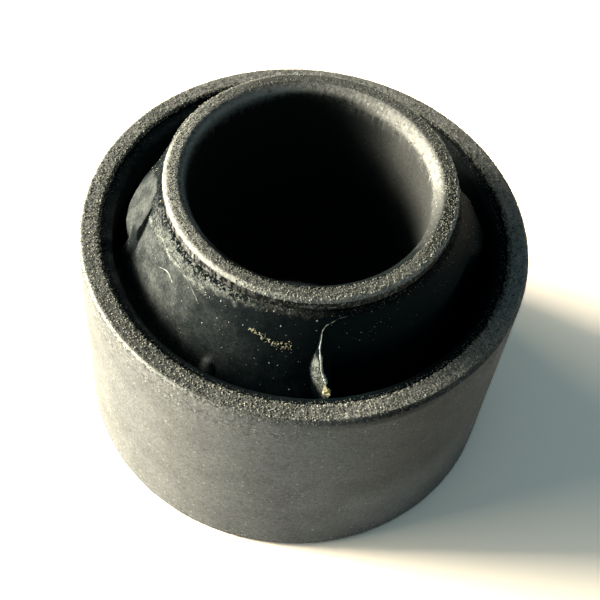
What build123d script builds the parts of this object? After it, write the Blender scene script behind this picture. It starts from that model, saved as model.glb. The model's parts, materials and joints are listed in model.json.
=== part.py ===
from build123d import *
from math import cos, radians, sin
import os

os.makedirs("parts", exist_ok=True)

# Rubber metal bush: a thin outer steel sleeve, a thicker inner steel sleeve that stands proud of it
# at the top, and one rubber moulding bonded between them.
# Frame: the axis is Z, the floor plane z = 0 carries the lower ends of both sleeves, millimetres.
# Directions round the axis are angles in degrees from +X towards +Y.

# ---- outer sleeve ----
sleeve_outer_d = 46.0
sleeve_wall = 2.1
sleeve_length = 27.0
sleeve_lead_width = 0.4
sleeve_lead_length = 0.5
sleeve_mouth_chamfer = 0.3

# ---- inner sleeve ----
bore_d = 24.0
tube_wall = 2.5
tube_proud = 7.6
bore_chamfer_width = 0.9
bore_chamfer_depth = 1.2
tube_chamfer_width = 0.5
tube_chamfer_depth = 0.9

# ---- rubber ----
# Drops run down from the outer sleeve's upper end and rises run up from it. Reaches are shares of the
# trough's width, which runs from the inner sleeve out to the lining on the outer sleeve's wall.
bare_tube = 0.7
neck_width = 0.5
neck_height = 0.6
slope_foot_reach = 0.54
slope_foot_drop = 2.8
valley_share = 0.38
valley_drop = 4.3
lining_thickness = 1.25
lining_drop = 0.8
lining_foot_drop = 3.1
lining_edge_chamfer = 0.3
pad_knee_reach = 0.39
pad_knee_rise = 2.0
pad_fall_per_reach = 2.1
bottom_recess = 1.2
bottom_dish_depth = 1.4
bottom_dish_margin = 0.9
bottom_dish_slope_share = 0.28

# ---- pockets ----
# Crescent voids right through the rubber, each between a pad's knee and the lining. Their corner rounds are
# shares of the pocket's width at that end.
pocket_count = 2
pad_start_angle = 281.0
pad_arc = 92.0
fin_angle = 2.2
tip_margin_angle = 1.2
flare_start_angle = 346.0
flare_middle_angle = 361.0
flare_middle_reach = 0.505
flare_end_reach = 0.74
blunt_heel_round = 0.16
blunt_corner_round = 0.41
tip_corner_round = 0.3

# ---- derived sizes ----
sleeve_outer_r = sleeve_outer_d / 2
sleeve_inner_r = sleeve_outer_r - sleeve_wall
bore_r = bore_d / 2
tube_outer_r = bore_r + tube_wall
tube_length = sleeve_length + tube_proud
lining_inner_r = sleeve_inner_r - lining_thickness
lining_top = sleeve_length - lining_drop
trough_width = lining_inner_r - tube_outer_r
rubber_top = tube_length - tube_chamfer_depth - bare_tube
neck_r = tube_outer_r + neck_width
neck_z = rubber_top - neck_height
slope_foot_r = tube_outer_r + slope_foot_reach * trough_width
valley_mid_r = (slope_foot_r + lining_inner_r) / 2
valley_half = valley_share * (lining_inner_r - slope_foot_r) / 2
valley_z = sleeve_length - valley_drop
dish_inner_r = tube_outer_r + bottom_dish_margin
dish_outer_r = sleeve_inner_r - bottom_dish_margin
dish_slope = bottom_dish_slope_share * (dish_outer_r - dish_inner_r)
dish_crown_z = bottom_recess + bottom_dish_depth
pad_knee_r = tube_outer_r + pad_knee_reach * trough_width
pad_knee_z = sleeve_length + pad_knee_rise
pad_foot_z = pad_knee_z - (lining_inner_r - pad_knee_r) * pad_fall_per_reach
pocket_start_angle = pad_start_angle + fin_angle
pocket_end_angle = pad_start_angle + pad_arc - tip_margin_angle
pocket_width = lining_inner_r - pad_knee_r
flare_middle_r = tube_outer_r + flare_middle_reach * trough_width
flare_end_r = tube_outer_r + flare_end_reach * trough_width
tip_width = lining_inner_r - flare_end_r


def polar(radius, angle):
    """Point in a level plane at a radius and an angle round the axis."""
    return (radius * cos(radians(angle)), radius * sin(radians(angle)))


def upright_plane(angle):
    """Plane through the axis whose x runs outwards at the angle and whose y runs up."""
    outwards = (cos(radians(angle)), sin(radians(angle)), 0)
    facing = (sin(radians(angle)), -cos(radians(angle)), 0)
    return Plane(origin=(0, 0, 0), x_dir=outwards, z_dir=facing)


# ---- outer sleeve: tube with lead-in chamfers outside for pressing in and fine chamfers at its mouths ----
with BuildPart() as outer_sleeve:
    with BuildSketch(Plane.XZ):
        with BuildLine():
            Polyline(
                (sleeve_inner_r, sleeve_mouth_chamfer),
                (sleeve_inner_r, sleeve_length - sleeve_mouth_chamfer),
                (sleeve_inner_r + sleeve_mouth_chamfer, sleeve_length),
                (sleeve_outer_r - sleeve_lead_width, sleeve_length),
                (sleeve_outer_r, sleeve_length - sleeve_lead_length),
                (sleeve_outer_r, sleeve_lead_length),
                (sleeve_outer_r - sleeve_lead_width, 0),
                (sleeve_inner_r + sleeve_mouth_chamfer, 0),
                close=True,
            )
        make_face()
    revolve(axis=Axis.Z)
outer_sleeve.part.label = "outer_sleeve"
export_step(outer_sleeve.part, "parts/outer_sleeve.step")

# ---- inner sleeve: thicker tube with steep chamfers inside and outside at both ends ----
with BuildPart() as inner_sleeve:
    with BuildSketch(Plane.XZ):
        with BuildLine():
            Polyline(
                (bore_r, bore_chamfer_depth),
                (bore_r, tube_length - bore_chamfer_depth),
                (bore_r + bore_chamfer_width, tube_length),
                (tube_outer_r - tube_chamfer_width, tube_length),
                (tube_outer_r, tube_length - tube_chamfer_depth),
                (tube_outer_r, tube_chamfer_depth),
                (tube_outer_r - tube_chamfer_width, 0),
                (bore_r + bore_chamfer_width, 0),
                close=True,
            )
        make_face()
    revolve(axis=Axis.Z)
inner_sleeve.part.label = "inner_sleeve"
export_step(inner_sleeve.part, "parts/inner_sleeve.step")

# ---- pocket outline: blunt at the start, level with the inner sleeve, flaring out to a narrow tip ----
with BuildSketch() as pocket_outline:
    with BuildLine():
        CenterArc((0, 0), lining_inner_r, pocket_start_angle, pocket_end_angle - pocket_start_angle)
        Line(polar(lining_inner_r, pocket_end_angle), polar(flare_end_r, pocket_end_angle))
        ThreePointArc(
            polar(flare_end_r, pocket_end_angle),
            polar(flare_middle_r, flare_middle_angle),
            polar(pad_knee_r, flare_start_angle),
        )
        CenterArc((0, 0), pad_knee_r, flare_start_angle, pocket_start_angle - flare_start_angle)
        Line(polar(pad_knee_r, pocket_start_angle), polar(lining_inner_r, pocket_start_angle))
    make_face()
    outline_corners = pocket_outline.vertices()
    blunt_heel = outline_corners.sort_by_distance(polar(pad_knee_r, pocket_start_angle))[0]
    blunt_corner = outline_corners.sort_by_distance(polar(lining_inner_r, pocket_start_angle))[0]
    tip_corners = outline_corners.sort_by_distance(polar(lining_inner_r, pocket_end_angle))[0:2]
    fillet(blunt_heel, blunt_heel_round * pocket_width)
    fillet(blunt_corner, blunt_corner_round * pocket_width)
    fillet(tip_corners, tip_corner_round * tip_width)

# ---- rubber: one moulding bonded to both sleeves ----
lining_edge = (lining_inner_r, lining_top)

with BuildPart() as rubber:
    # body: a steep slope below the inner sleeve's end, a valley, and a lining up the outer sleeve
    with BuildSketch(Plane.XZ) as body_section:
        with BuildLine():
            Polyline(
                (tube_outer_r, bottom_recess),
                (tube_outer_r, rubber_top),
                (neck_r, neck_z),
                (slope_foot_r, sleeve_length - slope_foot_drop),
                (valley_mid_r - valley_half, valley_z),
                (valley_mid_r + valley_half, valley_z),
                (lining_inner_r, sleeve_length - lining_foot_drop),
                lining_edge,
                (sleeve_inner_r, lining_top),
                (sleeve_inner_r, bottom_recess),
                (dish_outer_r, bottom_recess),
                (dish_outer_r - dish_slope, dish_crown_z),
                (dish_inner_r + dish_slope, dish_crown_z),
                (dish_inner_r, bottom_recess),
                close=True,
            )
        make_face()
        lining_corner = body_section.vertices().sort_by_distance(lining_edge)[0]
        chamfer(lining_corner, lining_edge_chamfer)
    revolve(axis=Axis.Z)

    # pads: over each pocket's arc the slope is gentler and stands proud of the body's
    for turn in range(pocket_count):
        with BuildSketch(upright_plane(pad_start_angle + turn * 360 / pocket_count)):
            with BuildLine():
                Polyline(
                    (tube_outer_r, pad_foot_z),
                    (tube_outer_r, rubber_top),
                    (neck_r, neck_z),
                    (pad_knee_r, pad_knee_z),
                    (lining_inner_r, pad_foot_z),
                    close=True,
                )
            make_face()
        revolve(axis=Axis.Z, revolution_arc=pad_arc)

    # pockets: the two outlines cut right through
    with BuildSketch():
        with PolarLocations(0, pocket_count):
            add(pocket_outline.sketch)
    extrude(amount=tube_length, mode=Mode.SUBTRACT)
rubber.part.label = "rubber"
export_step(rubber.part, "parts/rubber.step")
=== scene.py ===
import json
import logging
import math
from dataclasses import dataclass
from enum import Enum
from typing import Callable

import bpy
import numpy as np
from mathutils import Matrix, Quaternion, Vector


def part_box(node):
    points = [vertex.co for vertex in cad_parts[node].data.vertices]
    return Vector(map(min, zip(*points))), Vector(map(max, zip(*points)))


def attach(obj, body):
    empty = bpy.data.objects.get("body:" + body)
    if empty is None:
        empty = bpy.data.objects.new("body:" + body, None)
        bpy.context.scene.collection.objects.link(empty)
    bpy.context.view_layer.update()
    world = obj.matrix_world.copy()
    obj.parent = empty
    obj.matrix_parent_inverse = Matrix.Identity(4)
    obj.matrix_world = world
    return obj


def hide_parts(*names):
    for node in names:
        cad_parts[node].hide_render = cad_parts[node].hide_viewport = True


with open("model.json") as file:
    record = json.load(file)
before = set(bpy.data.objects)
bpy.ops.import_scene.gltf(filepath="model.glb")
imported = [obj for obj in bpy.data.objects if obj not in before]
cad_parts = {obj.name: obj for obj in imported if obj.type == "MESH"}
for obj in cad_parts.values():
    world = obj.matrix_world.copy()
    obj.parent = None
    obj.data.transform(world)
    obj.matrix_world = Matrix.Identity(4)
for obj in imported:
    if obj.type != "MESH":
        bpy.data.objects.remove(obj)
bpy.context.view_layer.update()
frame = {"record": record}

# A bonded rubber bush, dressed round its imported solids. Lengths in the classes are millimetres, angles are
# degrees round the upright axis from +X towards +Y, and meshes are written in metres.
MM = 0.001
LOG = logging.getLogger("bush")
FULL_TURN = 360.0
HALF_TURN = 180.0
TINY = 1e-9
WELD_DECIMALS = 4

Array = np.ndarray
Socket = bpy.types.NodeSocket
Material = bpy.types.Material
Piece = bpy.types.Object

frozen = dataclass(frozen=True)

# Colours are red, green, blue and alpha. A Span is where a value starts and stops to count and, where they
# aren't 0 and 1, what it becomes there. A Gain is what a value is multiplied by and what is then added.
Colour = tuple[float, float, float, float]
Span = tuple[float, ...]
Gain = tuple[float, float]
Point = tuple[float, float]


class Slot(Enum):
    """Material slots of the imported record."""

    STEEL = "phosphated_steel"
    RUBBER = "rubber"


class Side(Enum):
    """Radius of a sleeve that a place on it is measured from."""

    INSIDE = "inside"
    OUTSIDE = "outside"


class Zone(Enum):
    """What a stretch of a turned section is, which sets how coarse its phosphate grit is."""

    WALL = 0.11
    SPILL = 0.36
    BORE = 0.05
    FACE = 1.0
    EDGE = 0.75


# ---------------------------------------------------------------- helpers


def radius_of(node: str) -> float:
    """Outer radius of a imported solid, in millimetres."""
    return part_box(node)[1].x / MM


def height_span(node: str) -> tuple[float, float]:
    """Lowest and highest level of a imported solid, in millimetres."""
    low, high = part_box(node)
    return low.z / MM, high.z / MM


def mount_radius(name: str) -> float:
    """Radius of one of the record's round mounts, in millimetres."""
    found = [m for m in frame["record"]["mounts"] if m["name"] == name]
    return found[0]["dims"]["r_mm"]


def smooth(x: Array) -> Array:
    """Smooth step of values clipped to 0..1."""
    t = np.clip(x, 0.0, 1.0)
    return t * t * (3.0 - 2.0 * t)


def bump(x: Array, centre: float, half: float) -> Array:
    """Smooth bell that is 1 at the centre and 0 beyond half a width either side."""
    return smooth(1.0 - np.abs(x - centre) / half)


@frozen
class Edge:
    """Soft edge along a measure: where it lies and how wide it is."""

    place: float
    width: float

    def past(self, x: Array) -> Array:
        """Share that rises from 0 to 1 beyond the edge."""
        return smooth((x - self.place) / self.width)

    def short(self, x: Array) -> Array:
        """Share that falls from 1 to 0 up to the edge."""
        return smooth((self.place - x) / self.width)


@frozen
class Stretch:
    """Stretch of a measure between two soft edges."""

    start: float
    start_width: float
    stop: float
    stop_width: float

    def inside(self, x: Array) -> Array:
        """Share that is 1 well inside the stretch."""
        return smooth((x - self.start) / self.start_width) * smooth((self.stop - x) / self.stop_width)


@frozen
class Swell:
    """Soft hump round the axis: its middle and how far it reaches to each side."""

    middle: float
    half: float

    def at(self, angle: Array) -> Array:
        """Share from 0 to 1 at each angle."""
        return bump(angle, self.middle, self.half)


@frozen
class Profile:
    """Values at stops of a measure, such as angles round the axis, with straight lines between."""

    stops: tuple[float, ...]
    values: tuple[float, ...]

    def at(self, x: Array) -> Array:
        """Value at each place."""
        return np.interp(x, self.stops, self.values)


class Grain:
    """Seeded value noise in three dimensions, sampled on whole arrays of points."""

    SIDE = 48
    ORIGIN = 1000.0

    def __init__(self, seed: int) -> None:
        """Fills the lattice."""
        self.lattice = np.random.default_rng(seed).random((self.SIDE,) * 3)

    def sample(self, points: Array, pitch: float) -> Array:
        """Noise from -1 to 1 at points.

        Args:
            points: array of n by 3, in millimetres.
            pitch: distance between lattice nodes, in millimetres.

        Returns:
            One value for each point.
        """
        scaled = points / pitch + self.ORIGIN
        base = np.floor(scaled).astype(np.int64)
        part = scaled - base
        part = part * part * (3.0 - 2.0 * part)
        total = np.zeros(len(points))
        for corner in range(8):
            step = np.array([corner & 1, corner >> 1 & 1, corner >> 2 & 1])
            index = (base + step) % self.SIDE
            weight = np.where(step == 1, part, 1.0 - part).prod(axis=1)
            total += weight * self.lattice[index[:, 0], index[:, 1], index[:, 2]]
        return 2.0 * total - 1.0

    def layered(self, points: Array, pitch: float, layers: int) -> Array:
        """Sum of ever finer noise, each layer half as deep as the last."""
        return sum(self.sample(points, pitch / 2**k) / 2**k for k in range(layers))


def from_polar(radius: Array, angle: Array, level: Array) -> Array:
    """Points from radii, angles in degrees and levels, as an array of n by 3."""
    turn = np.radians(angle)
    return np.stack([radius * np.cos(turn), radius * np.sin(turn), level], axis=-1)


def make_object(
    name: str,
    points: Array,
    faces: list[tuple[int, ...]],
    fields: dict[str, Array],
    material: Material,
    rounded: bool = True,
) -> Piece:
    """Makes a mesh object.

    Args:
        name: name of the piece.
        points: vertices in millimetres.
        faces: corner indices of each face.
        fields: one float for each vertex, by attribute name.
        material: finish of the whole piece.
        rounded: whether the faces are shaded smooth.

    Returns:
        The new object, linked into the scene.
    """
    mesh = bpy.data.meshes.new(name)
    mesh.from_pydata((points * MM).tolist(), [], faces)
    mesh.polygons.foreach_set("use_smooth", np.full(len(faces), rounded))
    for field_name, values in fields.items():
        layer = mesh.attributes.new(field_name, "FLOAT", "POINT")
        layer.data.foreach_set("value", np.asarray(values, dtype=np.float32))
    mesh.materials.append(material)
    mesh.update()
    thing = bpy.data.objects.new(name, mesh)
    bpy.context.scene.collection.objects.link(thing)
    return thing


# ---------------------------------------------------------------- finishes


class NodeSheet:
    """Short way of writing a node tree: makes nodes, sets their sockets and links them."""

    UPRIGHT_SQUEEZE = (1.0, 1.0, 0.2)
    SMALLEST_SPECK = 0.4
    SPECK_CRISPNESS = 8.0

    def __init__(self, tree: bpy.types.NodeTree) -> None:
        """Clears the tree."""
        self.tree = tree
        tree.nodes.clear()

    def node(self, kind: str, **settings: object) -> bpy.types.Node:
        """Adds a node and sets its properties."""
        made = self.tree.nodes.new(kind)
        for key, value in settings.items():
            setattr(made, key, value)
        return made

    def link(self, source: Socket, target: Socket) -> None:
        """Joins two sockets."""
        self.tree.links.new(source, target)

    def feed(self, target: Socket, value: object) -> None:
        """Links a socket, or sets its own value."""
        if isinstance(value, Socket):
            self.link(value, target)
        else:
            target.default_value = value

    def math(self, operation: str, a: object, b: object = 0.0, clamp: bool = False) -> Socket:
        """Math node on two values or sockets."""
        made = self.node("ShaderNodeMath", operation=operation, use_clamp=clamp)
        self.feed(made.inputs[0], a)
        self.feed(made.inputs[1], b)
        return made.outputs[0]

    def blend(self, factor: object, a: object, b: object) -> Socket:
        """Mix of two colours by a factor."""
        made = self.node("ShaderNodeMix", data_type="RGBA")
        self.feed(made.inputs["Factor"], factor)
        self.feed(made.inputs[6], a)
        self.feed(made.inputs[7], b)
        return made.outputs[2]

    def span(
        self, value: object, low: float, high: float, to_low: float = 0.0, to_high: float = 1.0
    ) -> Socket:
        """Maps a range onto another, with a smooth step and clamped ends.

        Args:
            value: value or socket to map.
            low: start of its range.
            high: end of its range.
            to_low: what the start becomes.
            to_high: what the end becomes.

        Returns:
            The mapped value.
        """
        made = self.node("ShaderNodeMapRange", interpolation_type="SMOOTHSTEP")
        self.feed(made.inputs["Value"], value)
        made.inputs["From Min"].default_value = low
        made.inputs["From Max"].default_value = high
        made.inputs["To Min"].default_value = to_low
        made.inputs["To Max"].default_value = to_high
        return made.outputs["Result"]

    def scaled(self, value: object, gain: float, lift: float) -> Socket:
        """Value times a gain plus a lift."""
        made = self.node("ShaderNodeMath", operation="MULTIPLY_ADD")
        self.feed(made.inputs[0], value)
        made.inputs[1].default_value = gain
        made.inputs[2].default_value = lift
        return made.outputs[0]

    def lerp(self, factor: object, a: object, b: object) -> Socket:
        """Mix of two numbers by a factor."""
        made = self.node("ShaderNodeMix", data_type="FLOAT")
        self.feed(made.inputs[0], factor)
        self.feed(made.inputs[2], a)
        self.feed(made.inputs[3], b)
        return made.outputs[0]

    def place(self) -> Socket:
        """Position on the object, in millimetres."""
        where = self.node("ShaderNodeTexCoord")
        scaled = self.node("ShaderNodeVectorMath", operation="SCALE")
        self.link(where.outputs["Object"], scaled.inputs[0])
        scaled.inputs["Scale"].default_value = 1.0 / MM
        return scaled.outputs[0]

    def stretched(self, where: Socket) -> Socket:
        """Position squeezed upwards, so that noise on it runs in short upright dashes."""
        made = self.node("ShaderNodeVectorMath", operation="MULTIPLY")
        self.link(where, made.inputs[0])
        made.inputs[1].default_value = self.UPRIGHT_SQUEEZE
        return made.outputs[0]

    def noise(self, where: Socket, pitch: float, detail: float = 2.0, rough: float = 0.5) -> Socket:
        """Noise whose features are about a pitch apart.

        Args:
            where: places in millimetres.
            pitch: distance between features, in millimetres.
            detail: how many finer layers it has.
            rough: how strong the finer layers are.

        Returns:
            Noise about 0.5.
        """
        made = self.node("ShaderNodeTexNoise")
        self.link(where, made.inputs["Vector"])
        made.inputs["Scale"].default_value = 1.0 / pitch
        made.inputs["Detail"].default_value = detail
        made.inputs["Roughness"].default_value = rough
        return made.outputs["Fac"]

    def cells(self, where: Socket, pitch: float) -> bpy.types.Node:
        """Voronoi cells about a pitch apart, in millimetres."""
        made = self.node("ShaderNodeTexVoronoi")
        self.link(where, made.inputs["Vector"])
        made.inputs["Scale"].default_value = 1.0 / pitch
        return made

    def field(self, name: str) -> Socket:
        """Value of a mesh attribute."""
        made = self.node("ShaderNodeAttribute", attribute_name=name)
        return made.outputs["Fac"]

    def specks(self, where: Socket, pitch: float, share: object, reach: float) -> Socket:
        """Scattered round specks.

        Args:
            where: position in millimetres.
            pitch: distance between the cells that may hold a speck.
            share: share of the cells that hold one, as a number or a socket.
            reach: radius of a speck as a share of its cell.

        Returns:
            Mask that is 1 inside a speck.
        """
        cell = self.cells(where, pitch)
        draw = self.node("ShaderNodeSeparateColor")
        self.link(cell.outputs["Color"], draw.inputs[0])
        chosen = self.math("LESS_THAN", draw.outputs[0], share)
        size = self.span(draw.outputs[1], 0.0, 1.0, self.SMALLEST_SPECK * reach, reach)
        inside = self.math("SUBTRACT", size, cell.outputs["Distance"])
        soft = self.times(inside, self.SPECK_CRISPNESS, clamp=True)
        return self.times(soft, chosen)

    def times(self, value: object, by: object, clamp: bool = False) -> Socket:
        """Product of two values."""
        return self.math("MULTIPLY", value, by, clamp=clamp)

    def dashes(self, where: Socket, pitch: float, edge: Span) -> Socket:
        """Short upright dashes, where the mesh says that there are some."""
        gap = self.span(self.noise(self.stretched(where), pitch, detail=1.0), *edge)
        return self.times(gap, self.field("comb"))

    def emboss(
        self,
        shader: bpy.types.Node,
        height: Socket,
        strength: Socket,
        relief: float,
    ) -> None:
        """Raises a shader's surface.

        Args:
            shader: shader to raise.
            height: height from 0 to 1.
            strength: how much of the relief shows.
            relief: full depth in millimetres.
        """
        raised = self.node("ShaderNodeBump")
        self.link(strength, raised.inputs["Strength"])
        raised.inputs["Distance"].default_value = relief * MM
        self.link(height, raised.inputs["Height"])
        self.link(raised.outputs[0], shader.inputs["Normal"])


def start_finish(
    name: str, kind: str = "ShaderNodeBsdfPrincipled"
) -> tuple[Material, NodeSheet, bpy.types.Node]:
    """Makes a node material with one shader on its surface.

    Args:
        name: name of the material.
        kind: kind of shader node.

    Returns:
        The material, its sheet and its shader.
    """
    material = bpy.data.materials.new(name)
    material.use_nodes = True
    sheet = NodeSheet(material.node_tree)
    output = sheet.node("ShaderNodeOutputMaterial")
    shader = sheet.node(kind)
    sheet.link(shader.outputs[0], output.inputs["Surface"])
    return material, sheet, shader


@frozen
class PhosphatedSteel:
    """Steel under a matt, crystalline phosphate coat: olive grey with dark pores and pale grains."""

    name: str = "phosphated_steel_finish"
    coat: Colour = (0.385, 0.37, 0.325, 1)
    pore: Colour = (0.04, 0.045, 0.04, 1)
    deep: Colour = (0.004, 0.005, 0.005, 1)
    soot: Colour = (0.012, 0.016, 0.015, 1)
    crystal: Colour = (0.9, 0.88, 0.74, 1)
    rubbed_and_lit: Colour = (0.62, 0.6, 0.51, 1)
    fine_pitch: float = 0.22
    fine_rough: float = 0.7
    coarse_pitch: float = 0.5
    coarse_rough: float = 0.6
    cloud_pitch: float = 4.0
    cloud_span: Span = (0.35, 0.7)
    cloud_depth: float = 0.22
    noise_detail: float = 3.0
    fine_pores: Span = (0.36, 0.56)
    coarse_pores: Span = (0.38, 0.52)
    even_fine: Gain = (0.3, 0.59)
    even_coarse: Gain = (0.16, 0.84)
    rough_fine: Gain = (0.6, 0.4)
    rough_coarse: Gain = (0.55, 0.45)
    large_grain_pitch: float = 0.34
    large_grain_share: Gain = (0.29, 0.035)
    large_grain_reach: float = 0.42
    small_grain_pitch: float = 0.187
    small_grain_share: Gain = (0.26, 0.03)
    small_grain_reach: float = 0.46
    grain_show: Gain = (0.25, 0.45)
    grain_height: float = 0.5
    bare_lit_coarse: Span = (0.34, 0.5, 0.45, 1)
    bare_lit_fine: Span = (0.3, 0.48, 0.35, 1)
    ragged_coarse: Gain = (0.45, -0.5)
    ragged_fine: Gain = (0.55, 0)
    ragged_by_grit: Span = (0.05, 0.6, 0.08, 0.9)
    darkening_span: Span = (0.15, 0.85)
    darkening_start: Span = (0, 0.2)
    tooth_pitch: float = 0.3
    tooth_edge: Span = (0.46, 0.52)
    roughness: Span = (0.3, 0.7, 0.78, 0.55)
    shine: float = 0.055
    relief: float = 0.05
    relief_by_grit: Gain = (0.6, 0.24)

    def build(self) -> Material:
        """Makes the node material.

        Returns:
            The finished material.
        """
        material, sheet, shader = start_finish(self.name)
        where = sheet.place()
        grit = sheet.field("grit")
        fine = sheet.noise(where, self.fine_pitch, self.noise_detail, self.fine_rough)
        coarse = sheet.noise(where, self.coarse_pitch, self.noise_detail, self.coarse_rough)
        cover = self._cover(sheet, grit, fine, coarse)
        pale = self._grains(sheet, where, grit)
        body = sheet.blend(cover, self.pore, self.coat)
        cloud = sheet.noise(where, self.cloud_pitch, self.noise_detail)
        shade = sheet.times(sheet.span(cloud, *self.cloud_span), self.cloud_depth)
        body = sheet.blend(shade, body, self.pore)
        shown = sheet.times(pale, sheet.scaled(grit, *self.grain_show))
        body = sheet.blend(shown, body, self.crystal)
        # Pale rubbed colour, laid by the sleeves' wear mask: partly real wear, mostly a painted highlight at
        # the lamp side and painted light on shaded stretches.
        bare_and_lit = sheet.times(sheet.field("worn"), sheet.span(coarse, *self.bare_lit_coarse))
        bare_and_lit = sheet.times(bare_and_lit, sheet.span(fine, *self.bare_lit_fine))
        body = sheet.blend(bare_and_lit, body, self.rubbed_and_lit)
        # Near-black laid by the sleeves' darkening mask: mostly painted shade, with a real dark pitted band.
        body = sheet.blend(self._darkening(sheet, grit, fine, coarse), body, self.soot)
        body = sheet.blend(sheet.dashes(where, self.tooth_pitch, self.tooth_edge), body, self.deep)
        sheet.link(body, shader.inputs["Base Color"])
        sheet.link(sheet.span(fine, *self.roughness), shader.inputs["Roughness"])
        shader.inputs["Metallic"].default_value = 0.0
        shader.inputs["Specular IOR Level"].default_value = self.shine
        height = sheet.math("ADD", cover, sheet.times(pale, self.grain_height))
        sheet.emboss(shader, height, sheet.scaled(grit, *self.relief_by_grit), self.relief)
        return material

    def _cover(
        self,
        sheet: NodeSheet,
        grit: Socket,
        fine: Socket,
        coarse: Socket,
    ) -> Socket:
        """How much of the coat shows between its pores.

        Args:
            sheet: sheet to write on.
            grit: how coarse the coat is.
            fine: fine noise.
            coarse: coarse noise.

        Returns:
            Shares from 0 to 1.
        """
        fine_open = sheet.span(fine, *self.fine_pores)
        coarse_open = sheet.span(coarse, *self.coarse_pores)
        even = sheet.times(
            sheet.scaled(fine_open, *self.even_fine), sheet.scaled(coarse_open, *self.even_coarse)
        )
        rough = sheet.times(
            sheet.scaled(fine_open, *self.rough_fine), sheet.scaled(coarse_open, *self.rough_coarse)
        )
        return sheet.lerp(grit, even, rough)

    def _grains(self, sheet: NodeSheet, where: Socket, grit: Socket) -> Socket:
        """Mask of the pale grains, large and small.

        Args:
            sheet: sheet to write on.
            where: places in millimetres.
            grit: how coarse the coat is.

        Returns:
            Shares from 0 to 1.
        """
        large = sheet.scaled(grit, *self.large_grain_share)
        small = sheet.scaled(grit, *self.small_grain_share)
        return sheet.math(
            "MAXIMUM",
            sheet.specks(where, self.large_grain_pitch, large, self.large_grain_reach),
            sheet.specks(where, self.small_grain_pitch, small, self.small_grain_reach),
        )

    def _darkening(
        self,
        sheet: NodeSheet,
        grit: Socket,
        fine: Socket,
        coarse: Socket,
    ) -> Socket:
        """How much dark colour lies on the coat, mostly painted shade, with an edge that wanders more where
        the grit is coarse.

        Args:
            sheet: sheet to write on.
            grit: how coarse the coat is.
            fine: fine noise.
            coarse: coarse noise.

        Returns:
            Shares from 0 to 1.
        """
        darkening = sheet.field("soot")
        mixed = sheet.math(
            "ADD", sheet.scaled(coarse, *self.ragged_coarse), sheet.scaled(fine, *self.ragged_fine)
        )
        wander = sheet.times(mixed, sheet.span(grit, *self.ragged_by_grit))
        ragged = sheet.math("ADD", darkening, wander)
        return sheet.times(sheet.span(ragged, *self.darkening_span), sheet.span(darkening, *self.darkening_start))


@frozen
class MouldedRubber:
    """Black moulded rubber: a dusty bloom, laid thickest where the lamp lights the faces as painted light,
    pits by the steel and chalky flash.
    """

    name: str = "moulded_rubber_finish"
    black: Colour = (0.003, 0.008, 0.01, 1)
    bloom_and_light: Colour = (0.148, 0.152, 0.136, 1)
    chalk: Colour = (0.5, 0.51, 0.43, 1)
    mote: Colour = (0.6, 0.56, 0.42, 1)
    grain_pitch: float = 0.26
    grain_detail: float = 3.0
    grain_rough: float = 0.65
    pit_pitch: float = 0.24
    pit_rough: float = 0.6
    pit_span: Span = (0.43, 0.51, 1, 0)
    pit_depth: float = 1.2
    lump_pitch: float = 0.21
    lump_rough: float = 0.7
    lump_span: Span = (0.4, 0.58, 0.12, 1)
    cloud_pitch: float = 1.5
    cloud_rough: float = 0.6
    cloudy_film: Span = (0.32, 0.62, 0.52, 1.06)
    grainy_film: Span = (0.32, 0.62, 0.5, 1.12)
    tooth_pitch: float = 0.26
    tooth_edge: Span = (0.46, 0.52)
    speck_pitch: float = 0.62
    speck_share: Gain = (0.22, 0.11)
    speck_reach: float = 0.14
    roughness: Span = (0.3, 0.7, 0.44, 0.62)
    shine: float = 0.012
    relief: float = 0.04
    relief_by_pits: Gain = (0.6, 0.3)

    def build(self) -> Material:
        """Makes the node material.

        Returns:
            The finished material.
        """
        material, sheet, shader = start_finish(self.name)
        where = sheet.place()
        pitted = sheet.field("pits")
        grain = sheet.noise(where, self.grain_pitch, self.grain_detail, self.grain_rough)
        hollow = sheet.noise(where, self.pit_pitch, rough=self.pit_rough)
        cloud = sheet.noise(where, self.cloud_pitch, self.grain_detail, self.cloud_rough)
        # Pale dusty bloom laid as painted light: thickest on the faces the lamp lights, next to none in
        # shade.
        lit_film = sheet.times(sheet.span(cloud, *self.cloudy_film), sheet.field("dust"), clamp=True)
        lit_film = sheet.times(lit_film, sheet.span(grain, *self.grainy_film))
        body = sheet.blend(lit_film, self.black, self.bloom_and_light)
        hole = sheet.times(sheet.span(hollow, *self.pit_span), pitted)
        body = sheet.blend(hole, body, self.black)
        lump = sheet.noise(where, self.lump_pitch, self.grain_detail, self.lump_rough)
        residue = sheet.times(sheet.span(lump, *self.lump_span), sheet.field("chalk"))
        body = sheet.blend(residue, body, self.chalk)
        body = sheet.blend(sheet.dashes(where, self.tooth_pitch, self.tooth_edge), body, self.black)
        share = sheet.scaled(pitted, *self.speck_share)
        specks = sheet.specks(where, self.speck_pitch, share, self.speck_reach)
        sheet.link(sheet.blend(specks, body, self.mote), shader.inputs["Base Color"])
        sheet.link(sheet.span(grain, *self.roughness), shader.inputs["Roughness"])
        shader.inputs["Specular IOR Level"].default_value = self.shine
        height = sheet.math("SUBTRACT", grain, sheet.times(hole, self.pit_depth))
        sheet.emboss(shader, height, sheet.scaled(pitted, *self.relief_by_pits), self.relief)
        return material


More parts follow.
